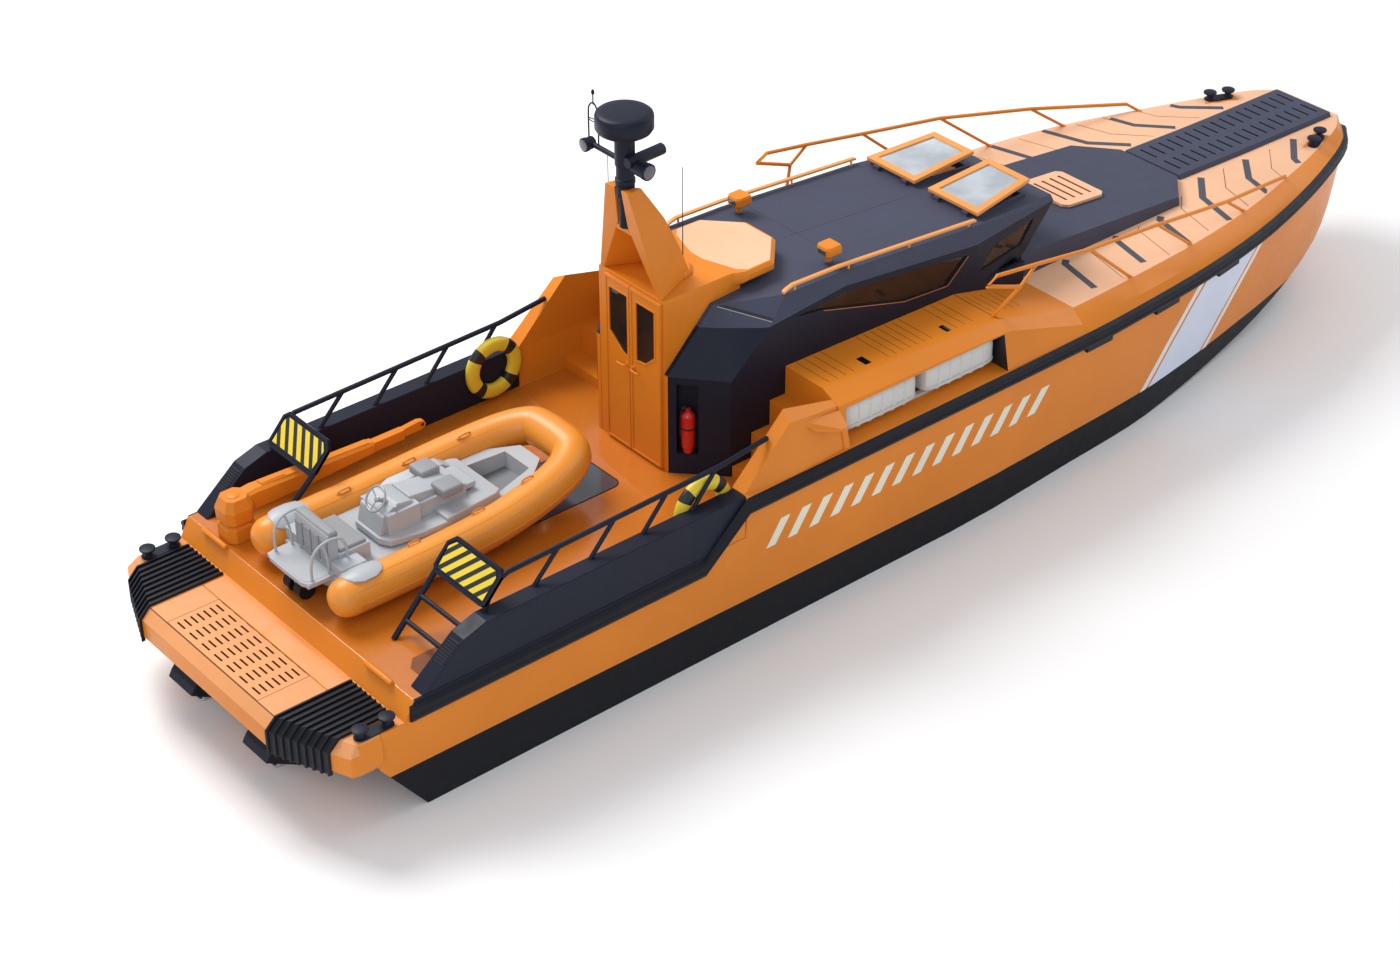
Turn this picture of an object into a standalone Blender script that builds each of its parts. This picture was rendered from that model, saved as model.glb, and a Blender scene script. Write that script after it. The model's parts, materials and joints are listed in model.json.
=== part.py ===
"""Fast decked rescue vessel with a tender on its aft deck, as separate named sub-parts.

Lengths are in metres. Every sub-part is modelled in the deck frame: x runs forward from the door plane,
y to port from the centreline, and z up from the aft deck. The datum empty then sets the deck frame in
the vessel's own frame, whose origin is amidships on the waterline.
"""

import math

import bmesh
import bpy
from mathutils import Matrix, Vector

# Place of the deck frame in the vessel's own frame
DOOR_X = -3.0
DECK_HEIGHT = 1.40

# Gap between touching sub-parts
SEAT = 0.0003

# Hull, in the deck frame
BEAM_HALF = 2.08
TRANSOM_X = -4.80
TRANSOM_KNUCKLE_Z = -0.70
TRANSOM_RAKE = 0.75
KNUCKLE_SHARE = 0.4186
RAIL_LOW = 0.30
RAIL_HIGH = 0.50
FAIR_FROM_X = 3.0
FAIR_PARTS = 3
HULL_LINES = (
    # x, keel z, chine y, chine z, side y, bevel y, bevel z, deck edge y, deck z
    (-4.80, -2.02, 1.99, -1.42, 2.08, 2.04, 0.60, 1.86, 0.75),
    (3.00, -2.10, 1.99, -1.42, 2.08, 2.04, 0.60, 1.86, 0.75),
    (5.10, -2.10, 1.87, -1.41, 2.06, 2.01, 0.60, 1.84, 0.75),
    (6.20, -2.08, 1.80, -1.40, 2.00, 1.95, 0.59, 1.78, 0.735),
    (7.20, -2.04, 1.66, -1.36, 1.91, 1.86, 0.58, 1.69, 0.71),
    (8.30, -1.92, 1.46, -1.28, 1.74, 1.69, 0.56, 1.52, 0.68),
    (9.45, -1.66, 1.26, -1.06, 1.45, 1.40, 0.54, 1.23, 0.64),
    (10.45, -1.24, 1.03, -0.70, 1.11, 1.06, 0.52, 0.93, 0.62),
    (11.06, -0.74, 0.78, -0.18, 0.83, 0.78, 0.515, 0.70, 0.61),
    (11.36, -0.20, 0.52, 0.16, 0.56, 0.53, 0.51, 0.48, 0.605),
)

# Aft deck, platform and openings in the hull top
DECK_AFT_X = -4.40
RISER_FOOT_X = -4.52
PLATFORM_Z = -0.22
PLATFORM_LOW_Z = -0.62
PLATFORM_EDGE = 0.11
BULWARK_END_X = -0.16
HOUSE_Y = 1.10
WING_INNER_Y = 1.84
WING_LEDGE = (
    (0.70, 1.98, 1.04),
    (0.81, 2.06, 0.94),
    (1.09, 2.148, 0.866),
    (1.20, 2.13, 0.845),
    (1.235, 1.95, 0.95),
)
SIDE_DECK_AFT_X = 1.23
SIDE_DECK_Z = 1.10
SIDE_DECK_FALL_Z = 1.04
SIDE_DECK_FLAT_Y = 1.69
SIDE_DECK_FALL_Y = 1.825
SIDE_DECK_FALL_X = 3.76
FOREDECK_X = 4.95
CABIN_FLOOR_Z = 0.0

# Raft bays and their canisters
BAY_AFT_X = 1.31
BAY_FORE_X = 3.70
BAY_INNER_Y = 1.16
BAY_TOP_Z = 0.935
RAFT_MIDDLES = (1.94, 3.13)
RAFT_Y = 1.66
RAFT_Z = 0.715
RAFT_HALF_WIDTH = 0.24
RAFT_HALF_HEIGHT = 0.195
RAFT_ROUNDNESS = 0.4

# Bulwarks and aft rails
BULWARK_TOP = 0.52
BULWARK_INNER_Y = 1.85
BULWARK_OUTER_Y = 2.064
RAIL_Y = 1.89
RAIL_RADIUS = 0.021

# Deckhouse
WALL = 0.05
HOUSING_HALF = 0.545
HOUSING_TOP = 2.10
HOUSING_FORE_X = 1.06
DOORWAY_EDGES = (-0.46, 0.36)
DOORWAY_LOW = 0.06
DOORWAY_HIGH = 1.92
DOOR_LEAVES = {
    # side: distance of the inner and of the outer edge from the centreline
    1: (-0.008, 0.41),
    -1: (0.014, 0.52),
}
DOOR_LOW = 0.02
DOOR_HIGH = 2.07
DOOR_THICK = 0.03
DOOR_HINGE_GAP = 0.005
DOOR_WINDOWS = {
    1: ((0.03, 1.185), (0.03, 1.93), (0.335, 1.93), (0.335, 1.395), (0.11, 1.215)),
    -1: ((0.12, 1.214), (0.12, 1.93), (0.42, 1.93), (0.42, 1.37), (0.265, 1.232)),
}
ROOF_POINTS = (
    # x, half-width, z of the wheelhouse's upper body
    (0.0, 0.60, 1.02),
    (0.0, 0.60, 1.22),
    (0.46, 1.098, 1.02),
    (0.46, 1.098, 1.20),
    (0.63, 0.60, 1.86),
    (0.98, 1.098, 1.64),
    (1.32, 0.98, 1.90),
    (2.10, 1.098, 1.76),
    (2.10, 0.98, 1.88),
    (4.10, 1.098, 1.54),
    (4.10, 1.00, 1.73),
    (5.50, 0.93, 1.56),
    (5.50, 0.88, 1.62),
    (5.00, 0.97, 1.06),
    (4.90, 0.99, 1.02),
    (4.20, 1.098, 1.02),
)
ROOF_LINE = ((1.32, 1.90), (2.10, 1.88), (4.10, 1.73), (5.50, 1.62))
ROOF_SEAM = ((-0.5, 1.66), (1.00, 1.66), (2.10, 1.765), (4.10, 1.545), (5.80, 1.565))
SIDE_WINDOW = ((1.36, 1.655), (2.15, 1.69), (2.97, 1.60), (3.95, 1.47), (3.64, 1.20), (2.98, 1.25),
               (1.75, 1.60))
QUARTER_WINDOW = ((4.15, 1.18), (4.40, 1.41), (5.14, 1.47), (4.92, 1.22))
WINDSCREEN_HALF = 0.84
WINDSCREEN_LOW = 1.12
WINDSCREEN_HIGH = 1.50
HATCH_OUTLINE = ((4.27, 0.11), (4.27, 0.91), (5.24, 0.78), (5.24, 0.12))
HATCH_OPEN = 3.5
HATCH_HINGE = (4.27, 1.768)
COAMING = 0.035
NICHE_CENTRE = (0.143, 0.754)
NICHE_HALF = 0.118
NICHE_DEPTH = 0.14
NICHE_LOW = 0.26
NICHE_HIGH = 1.13
BOTTLE_RADIUS = 0.08
BOTTLE_FOOT = 0.07
LIGHT_X = 2.155
LIGHT_Y = 0.74
LIGHT_HALF = 0.105

# Mast
MAST_X = -0.05
MAST_LEG = (
    # x and y of four corners, from the aft outer one round the inside, then z
    ((0.0, 0.515), (0.0, 0.45), (0.56, 0.16), (0.62, 0.24), 2.10),
    ((-0.07, 0.382), (-0.07, 0.31), (0.46, 0.13), (0.515, 0.19), 2.58),
    ((-0.17, 0.19), (-0.17, 0.13), (0.01, 0.10), (0.04, 0.15), 3.27),
)
MAST_FOOT = ((0.33, 0.08), (0.325, 0.20), (0.483, 0.313), (0.627, 0.267), (0.734, 0.123))
MAST_HEAD = (
    # radius, z
    (0.07, 2.80),
    (0.07, 3.29),
    (0.107, 3.31),
    (0.107, 3.36),
    (0.095, 3.37),
    (0.095, 3.51),
    (0.107, 3.52),
    (0.107, 3.85),
    (0.22, 3.87),
    (0.307, 3.94),
    (0.307, 4.08),
    (0.287, 4.11),
    (0.25, 4.12),
)

# Trunk and hatch on the foredeck
TRUNK_AFT_X = 4.985
TRUNK_FORE_X = 8.26
TRUNK_ROWS = (
    # x, half-width, top z
    (TRUNK_AFT_X, 0.99, 1.05),
    (5.10, 0.988, 1.04),
    (6.20, 0.96, 0.942),
    (7.20, 0.935, 0.853),
    (7.80, 0.92, 0.80),
    (TRUNK_FORE_X, 0.48, 0.755),
)
FORE_HATCH_X = 6.33
FORE_HATCH_LIFT = 0.006
FORE_HATCH_OUTLINE = ((6.33, 0.33), (6.40, 0.39), (6.97, 0.39), (7.04, 0.33))
WALKWAY_AFT_X = 8.32
WALKWAY_FORE_X = 11.24

# Crane
CRANE_X = -4.19
CRANE_Y = 1.42

# Tender
TENDER_Y = 0.13
TENDER_TUBE = 0.21
TENDER_WHEEL = 0.10
TENDER_AXLE_X = -4.26
TENDER_PATH = (
    # x, y offset from the tender's centreline, z of the tube centre
    (-4.10, 0.70, 0.28),
    (-3.60, 0.705, 0.28),
    (-2.70, 0.70, 0.295),
    (-2.10, 0.675, 0.335),
    (-1.55, 0.60, 0.40),
    (-1.22, 0.50, 0.455),
    (-1.03, 0.36, 0.50),
    (-0.985, 0.19, 0.52),
)

# Waterjets
JET_Y = 0.70
JET_Z = -1.10
JET_FACE_X = -4.74
NOZZLE_X = -4.92
BUCKET_X = -5.07
BUCKET_REACH = 0.40
LUG_REACH = 0.175
CHEEK_Y = 0.195
PIN_GAP = 0.0005

COLOURS = {
    # name: red, green, blue, metallic, roughness
    "orange_paint": (0.78, 0.27, 0.035, 0.1, 0.35),
    "peach_deck": (0.85, 0.45, 0.2, 0.0, 0.6),
    "navy_paint": (0.018, 0.023, 0.04, 0.1, 0.5),
    "black_rubber": (0.012, 0.013, 0.018, 0.0, 0.7),
    "white_plastic": (0.82, 0.83, 0.8, 0.0, 0.4),
    "grey_plastic": (0.42, 0.44, 0.46, 0.0, 0.45),
    "red_paint": (0.65, 0.02, 0.02, 0.0, 0.3),
    "yellow_plastic": (0.85, 0.62, 0.03, 0.0, 0.4),
    "tinted_glass": (0.05, 0.06, 0.07, 0.0, 0.08),
    "bare_metal": (0.4, 0.42, 0.45, 0.9, 0.35),
}


def clear_scene():
    """Remove every object of the startup scene."""
    for found in list(bpy.data.objects):
        bpy.data.objects.remove(found, do_unlink=True)


def make_collection(name):
    """A collection under the scene."""
    made = bpy.data.collections.new(name)
    bpy.context.scene.collection.children.link(made)
    return made


def make_material(name):
    """A plain Principled material from the colour table."""
    red, green, blue, metallic, roughness = COLOURS[name]
    made = bpy.data.materials.new(name)
    made.use_nodes = True
    shader = made.node_tree.nodes["Principled BSDF"]
    shader.inputs["Base Color"].default_value = (red, green, blue, 1.0)
    shader.inputs["Metallic"].default_value = metallic
    shader.inputs["Roughness"].default_value = roughness
    return made


clear_scene()
BOAT = make_collection("rescue_vessel")
CUTTERS = make_collection("cutters")
MATERIALS = {name: make_material(name) for name in COLOURS}
DATUM = bpy.data.objects.new("deck_datum", None)
DATUM.location = (DOOR_X, 0.0, DECK_HEIGHT)
BOAT.objects.link(DATUM)


# Shapes that are added to a bmesh

def add_box(shape, low, high):
    """A box between two corners."""
    size = Vector(high) - Vector(low)
    centre = (Vector(high) + Vector(low)) / 2
    place = Matrix.Translation(centre) @ Matrix.Diagonal((*size, 1.0))
    return bmesh.ops.create_cube(shape, size=1.0, matrix=place)["verts"]


def add_rod(shape, start, end, radius, sides=8, end_radius=None):
    """A closed cylinder, or a cone where end_radius is given, from start to end."""
    start = Vector(start)
    along = Vector(end) - start
    turn = along.to_track_quat("Z", "Y").to_matrix().to_4x4()
    place = Matrix.Translation(start + along / 2) @ turn
    bmesh.ops.create_cone(
        shape,
        cap_ends=True,
        segments=sides,
        radius1=radius,
        radius2=radius if end_radius is None else end_radius,
        depth=along.length,
        matrix=place,
    )


def add_post(shape, foot, top, radius, sides=8):
    """A leaning post whose ends are level."""
    rings = []
    for centre in (foot, top):
        ring = []
        for k in range(sides):
            angle = 2 * math.pi * (k + 0.5) / sides
            ring.append((centre[0] + radius * math.cos(angle), centre[1] + radius * math.sin(angle), centre[2]))
        rings.append(ring)
    add_loft(shape, rings)


def add_turned(shape, x, y, profile, sides=16):
    """A turned body on an upright axis, from rings of radius and z."""
    sections = []
    for radius, z in profile:
        ring = []
        for k in range(sides):
            angle = 2 * math.pi * k / sides
            ring.append((x + radius * math.cos(angle), y + radius * math.sin(angle), z))
        sections.append(ring)
    add_loft(shape, sections)


def add_ball(shape, centre, radius, squash=(1.0, 1.0, 1.0), u=12, v=8):
    """A sphere, or an ellipsoid where squash is given."""
    place = Matrix.Translation(centre) @ Matrix.Diagonal((*squash, 1.0))
    bmesh.ops.create_uvsphere(shape, u_segments=u, v_segments=v, radius=radius, matrix=place)


def add_loft(shape, sections):
    """A closed body through sections, each a ring with the same number of points."""
    rings = [[shape.verts.new(point) for point in section] for section in sections]
    count = len(rings[0])
    for first, second in zip(rings, rings[1:]):
        for i in range(count):
            j = (i + 1) % count
            shape.faces.new((first[i], first[j], second[j], second[i]))
    shape.faces.new(list(reversed(rings[0])))
    shape.faces.new(rings[-1])


def add_prism(shape, outline, low, high, axis):
    """An outline in the plane across axis, extruded from low to high along that axis."""
    order = {"x": (2, 0, 1), "y": (0, 2, 1), "z": (0, 1, 2)}[axis]
    sections = []
    for level in (low, high):
        sections.append([[(a, b, level)[k] for k in order] for a, b in outline])
    add_loft(shape, sections)


def add_hull(shape, points):
    """The convex body around some points."""
    made = [shape.verts.new(point) for point in points]
    bmesh.ops.convex_hull(shape, input=made, use_existing_faces=False)


def flip_side(shape, side):
    """Mirror the whole shape across the centreline for the starboard side."""
    if side < 0:
        bmesh.ops.scale(shape, vec=(1.0, -1.0, 1.0), verts=shape.verts)


def finish(name, shape, material, pivot=(0.0, 0.0, 0.0), collection=None, smooth=None, parent=None):
    """Turn a bmesh in deck-frame coordinates into an object with its origin at pivot."""
    bmesh.ops.remove_doubles(shape, verts=shape.verts, dist=0.00001)
    bmesh.ops.dissolve_degenerate(shape, edges=shape.edges, dist=0.00001)
    loose = [vert for vert in shape.verts if not vert.link_faces]
    bmesh.ops.delete(shape, geom=loose, context="VERTS")
    bmesh.ops.recalc_face_normals(shape, faces=shape.faces)
    if pivot != (0.0, 0.0, 0.0):
        bmesh.ops.translate(shape, vec=-Vector(pivot), verts=shape.verts)
    mesh = bpy.data.meshes.new(name)
    shape.to_mesh(mesh)
    shape.free()
    if smooth:
        mesh.shade_smooth()
        mesh.set_sharp_from_angle(angle=math.radians(smooth))
    mesh.materials.append(MATERIALS[material])
    made = bpy.data.objects.new(name, mesh)
    made.location = pivot
    made.parent = parent or DATUM
    (collection or BOAT).objects.link(made)
    return made


def finish_cutter(name, shape):
    """A helper body for a Boolean, left out of the render."""
    made = finish(name, shape, "navy_paint", collection=CUTTERS)
    made.hide_render = True
    made.display_type = "WIRE"
    return made


def combine(target, cutter, operation="DIFFERENCE", overlapping=False):
    """A Boolean modifier on the target."""
    modifier = target.modifiers.new(cutter.name, "BOOLEAN")
    modifier.operation = operation
    modifier.object = cutter
    modifier.solver = "EXACT"
    modifier.use_self = overlapping
    return modifier


def side_name(side):
    """Port is +y."""
    return "port" if side > 0 else "starboard"


# Hull

def fair_rows(rows):
    """The hull lines with smooth rows added between them towards the bow."""
    slopes = []
    for first, second in zip(rows, rows[1:]):
        length = second[0] - first[0]
        slopes.append([(b - a) / length for a, b in zip(first, second)])
    tangents = [slopes[0]]
    for before, after in zip(slopes, slopes[1:]):
        tangents.append([2 * a * b / (a + b) if a * b > 0 else 0.0 for a, b in zip(before, after)])
    tangents.append(slopes[-1])
    faired = [rows[0]]
    for i in range(1, len(rows)):
        start = rows[i - 1]
        end = rows[i]
        parts = FAIR_PARTS if start[0] >= FAIR_FROM_X else 1
        length = end[0] - start[0]
        for part in range(1, parts):
            t = part / parts
            row = [start[0] + t * length]
            for column in range(1, len(start)):
                row.append(
                    (2 * t ** 3 - 3 * t ** 2 + 1) * start[column]
                    + (t ** 3 - 2 * t ** 2 + t) * length * tangents[i - 1][column]
                    + (3 * t ** 2 - 2 * t ** 3) * end[column]
                    + (t ** 3 - t ** 2) * length * tangents[i][column]
                )
            faired.append(tuple(row))
        faired.append(end)
    return tuple(faired)


HULL_STATIONS = fair_rows(HULL_LINES)


def stations_between(low, high, others=()):
    """Places along the length from low to high, with one at every hull station and at each of the others."""
    inside = {row[0] for row in HULL_STATIONS if low + 0.03 < row[0] < high - 0.03}
    inside.update(x for x in others if low < x < high)
    return [low] + sorted(inside) + [high]


def station_value(x, column):
    """A column of the hull table, read along the length."""
    rows = HULL_STATIONS
    if x <= rows[0][0]:
        return rows[0][column]
    for first, second in zip(rows, rows[1:]):
        if x <= second[0]:
            share = (x - first[0]) / (second[0] - first[0])
            return first[column] + share * (second[column] - first[column])
    return rows[-1][column]


def hull_side_y(x, z):
    """Half-breadth of the hull side at a place between the chine and the rub rail."""
    chine_y = station_value(x, 2)
    chine_z = station_value(x, 3)
    side_y = station_value(x, 4)
    share = min(1.0, max(0.0, (z - chine_z) / (RAIL_LOW - chine_z)))
    return chine_y + share * (side_y - chine_y)


def hull_section(row):
    """Closed ring of one station, from the keel round the port side and back down the starboard side."""
    x, keel_z, chine_y, chine_z, side_y, bevel_y, bevel_z, edge_y, deck_z = row
    knuckle_z = chine_z + KNUCKLE_SHARE * (RAIL_LOW - chine_z)
    knuckle_y = chine_y + KNUCKLE_SHARE * (side_y - chine_y)
    half = [
        (chine_y, chine_z),
        (knuckle_y, knuckle_z),
        (side_y, RAIL_LOW),
        (side_y, RAIL_HIGH),
        (bevel_y, bevel_z),
        (edge_y, deck_z),
    ]
    ring = [(0.0, keel_z)] + half + [(0.0, deck_z)] + [(-y, z) for y, z in reversed(half)]
    rake = TRANSOM_RAKE if x == HULL_STATIONS[0][0] else 0.0
    return [(x + rake * max(0.0, TRANSOM_KNUCKLE_Z - z), y, z) for y, z in ring]


def build_hull():
    """Decked hull with the aft deck, side recesses and cabin well cut into it."""
    shape = bmesh.new()
    add_loft(shape, [hull_section(row) for row in HULL_STATIONS])
    bend = [v for v in shape.verts if v.co.x < TRANSOM_X + 0.001 and abs(v.co.z - TRANSOM_KNUCKLE_Z) < 0.001]
    transom = [f for f in shape.faces if all(vert in f.verts for vert in bend)][0]
    bmesh.utils.face_split(transom, bend[0], bend[1])
    hull = finish("hull", shape, "orange_paint")

    shape = bmesh.new()
    riser = [(-6.0, PLATFORM_Z), (RISER_FOOT_X, PLATFORM_Z), (DECK_AFT_X, 0.0), (BULWARK_END_X, 0.0),
             (BULWARK_END_X, 2.0), (-6.0, 2.0)]
    add_prism(shape, riser, -3.0, 3.0, "y")
    combine(hull, finish_cutter("cut_aft_deck", shape))

    shape = bmesh.new()
    add_box(shape, (-0.5, -3.0, RAIL_HIGH), (FOREDECK_X, 3.0, 2.0))
    combine(hull, finish_cutter("cut_midships", shape))

    shape = bmesh.new()
    add_box(shape, (-0.5, -HOUSE_Y, CABIN_FLOOR_Z), (FOREDECK_X - 0.03, HOUSE_Y, 2.0))
    combine(hull, finish_cutter("cut_cabin_well", shape))

    shape = bmesh.new()
    add_box(shape, (-0.5, -WING_INNER_Y, 0.0), (SIDE_DECK_AFT_X, WING_INNER_Y, 2.0))
    combine(hull, finish_cutter("cut_step_wells", shape))
    return hull


def build_rub_rail():
    """One double-ridged fender along both sides, round the bow, dropping at the bulwarks."""
    low_z = RAIL_LOW - 0.54
    path = [(-4.46, low_z), (-0.74, low_z), (-0.375, 0.10)]
    path += [(x, RAIL_LOW) for x in stations_between(-0.16, HULL_STATIONS[-1][0])]
    profile = ((0.0, 0.0), (0.05, 0.03), (0.07, 0.07), (0.05, 0.10), (0.07, 0.13), (0.05, 0.17), (0.0, 0.20))
    port = []
    for x, z in path:
        fall = station_value(x - 0.1, 4) - station_value(x + 0.1, 4)
        outward = Vector((fall, 0.2, 0.0)).normalized()
        if x > HULL_STATIONS[-2][0]:
            outward = Vector((1.0, 0.55, 0.0))
        ring = []
        for out, up in profile:
            foot = Vector((x, hull_side_y(x, z + up) + 2 * SEAT, z + up))
            ring.append(foot + outward * out)
        port.append(ring)
    starboard = [[Vector((p.x, -p.y, p.z)) for p in ring] for ring in reversed(port)]
    port[-1] = [p + Vector((0.001, 0.0, 0.0)) for p in port[-1]]
    starboard[0] = [p + Vector((0.001, 0.0, 0.0)) for p in starboard[0]]
    shape = bmesh.new()
    add_loft(shape, port + starboard)
    return finish("rub_rail", shape, "navy_paint")


# Stern platform

def platform_outline(inset):
    """Half of the platform's outline on the port side, from the centreline aft to the hull."""
    return [
        (-5.53 + inset, 0.0),
        (-5.53 + inset, 1.17),
        (-5.17 + inset * 0.9, 2.075 - inset * 0.5),
        (-5.06 + inset * 0.2, 2.078 - inset * 0.3),
        (TRANSOM_X - SEAT, 2.078 - inset * 0.3),
    ]


def full_outline(half):
    """The port half of an outline with its mirror image."""
    return half + [(x, -y) for x, y in reversed(half) if y != 0.0]


def build_platform():
    """Swim platform: a bevelled slab aft of the transom."""
    shape = bmesh.new()
    outer = full_outline(platform_outline(0.0))
    top = full_outline(platform_outline(PLATFORM_EDGE))
    low = full_outline(platform_outline(0.16))
    add_loft(
        shape,
        [
            [(x, y, PLATFORM_LOW_Z) for x, y in low],
            [(x, y, PLATFORM_LOW_Z + 0.07) for x, y in outer],
            [(x, y, -0.33) for x, y in outer],
            [(x, y, PLATFORM_Z) for x, y in top],
        ],
    )
    return finish("swim_platform", shape, "orange_paint")


def build_mat(side):
    """Ribbed rubber mat draped over the platform's aft corner."""
    shape = bmesh.new()
    inner_y = 1.17
    outer_y = 1.86
    lift = 0.012
    ribs = 8
    pitch = (outer_y - inner_y) / ribs
    sections = []
    for step in range(2 * ribs + 1):
        y = inner_y + step * pitch / 2
        share = (y - inner_y) / (2.075 - inner_y)
        edge_x = -5.53 + share * 0.36
        top_x = edge_x + PLATFORM_EDGE - 0.01 * share
        rise = 0.030 if step % 2 else lift
        sections.append([
            (edge_x - 0.0006, y, -0.595),
            (edge_x - 0.0006, y, -0.33),
            (top_x, y, PLATFORM_Z + 0.0006),
            (-4.545, y, PLATFORM_Z + 0.0006),
            (-4.545, y, PLATFORM_Z + rise),
            (top_x - 0.006, y, PLATFORM_Z + rise),
            (edge_x - rise, y, -0.33 + rise * 0.5),
            (edge_x - rise, y, -0.595),
        ])
    add_loft(shape, sections)
    flip_side(shape, side)
    return finish(f"platform_mat_{side_name(side)}", shape, "black_rubber")


def build_bollard(name, aft, fore, base_z, outward):
    """Twin-post bollard: two leaning posts with flat caps on a common base."""
    aft = Vector(aft)
    fore = Vector(fore)
    lean = Vector((0.0, outward * 0.02, 0.0))
    along = (fore - aft).normalized() * 0.03
    base_aft = Vector((aft.x, aft.y, base_z)) + along
    base_fore = Vector((fore.x, fore.y, base_z)) - along
    shape = bmesh.new()
    side = Vector((0, 0, 1)).cross(along).normalized() * 0.055
    ends = along.normalized() * 0.06
    ring = [base_aft - ends - side * 0.6, base_aft - ends + side * 0.6, base_aft + side, base_fore + side,
            base_fore + ends + side * 0.6, base_fore + ends - side * 0.6, base_fore - side, base_aft - side]
    up = Vector((0, 0, 0.025))
    add_loft(shape, [[p for p in ring], [p + up for p in ring]])
    body = finish(name, shape, "navy_paint", smooth=40)
    posts = bmesh.new()
    for foot, cap in ((base_aft, aft), (base_fore, fore)):
        add_rod(posts, foot + Vector((0, 0, 0.01)), cap + lean * 0.2, 0.024, 10)
        add_rod(posts, cap - Vector((0, 0, 0.012)), cap + Vector((0, 0, 0.012)), 0.048, 12)
    combine(body, finish_cutter(f"{name}_posts", posts), "UNION", overlapping=True)
    return body


# Aft deck sides

def build_bulwark(side):
    """Black bulwark block with a sloping aft end."""
    shape = bmesh.new()
    outline = [(-4.30, SEAT), (-3.78, 0.43), (-3.50, BULWARK_TOP), (BULWARK_END_X - SEAT, BULWARK_TOP),
               (BULWARK_END_X - SEAT, SEAT)]
    add_prism(shape, outline, BULWARK_INNER_Y, BULWARK_OUTER_Y, "y")
    flip_side(shape, side)
    return finish(f"bulwark_{side_name(side)}", shape, "navy_paint")


def build_aft_rail(side):
    """Handrail on slanted posts, with the sloping hazard guard at its aft end."""
    name = f"aft_rail_{side_name(side)}"
    shape = bmesh.new()
    guard = [
        # y, distance up the slope from the lower edge
        (1.925, 0.03),
        (1.925, 0.36),
        (1.86, 0.43),
        (1.15, 0.43),
        (1.06, 0.33),
        (1.06, 0.06),
        (1.12, 0.0),
        (1.87, 0.0),
    ]
    slope = math.atan2(0.32, 0.29)
    up = Vector((math.cos(slope), 0.0, math.sin(slope)))
    out = Vector((-math.sin(slope), 0.0, math.cos(slope)))
    corner = Vector((-3.42, 0.0, 0.545))
    faces = []
    for lift in (0.0, 0.035):
        faces.append([corner + up * s + out * lift + Vector((0, y, 0)) for y, s in guard])
    add_loft(shape, faces)
    flip_side(shape, side)
    rail = finish(name, shape, "navy_paint")

    rods = bmesh.new()
    top = [(-3.19, 0.815), (-3.10, 0.835), (-0.36, 0.90), (0.27, 0.973)]
    for (x0, z0), (x1, z1) in zip(top, top[1:]):
        add_rod(rods, (x0, RAIL_Y, z0), (x1, RAIL_Y, z1), RAIL_RADIUS)
    for x in (-2.81, -2.10, -1.42, -0.76):
        height = 0.85 + 0.024 * (x + 2.5)
        add_post(rods, (x, RAIL_Y, BULWARK_TOP + SEAT), (x + 0.33, RAIL_Y, height), RAIL_RADIUS * 0.9)
    add_post(rods, (-3.41, RAIL_Y, BULWARK_TOP + SEAT), (-3.35, RAIL_Y, 0.62), RAIL_RADIUS)
    leg_top = Vector((-3.37, 1.10, 0.61))
    leg_foot = Vector((-3.985, 1.13, SEAT))
    add_post(rods, leg_foot, leg_top, RAIL_RADIUS * 1.1)
    if side < 0:
        for share in (0.41, 0.74):
            start = leg_top.lerp(leg_foot, share)
            add_rod(rods, start, (start.x, BULWARK_INNER_Y - SEAT, start.z), RAIL_RADIUS * 0.9)
    flip_side(rods, side)
    combine(rail, finish_cutter(f"{name}_rods", rods), "UNION", overlapping=True)
    return rail


# Side decks, steps and wings

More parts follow.
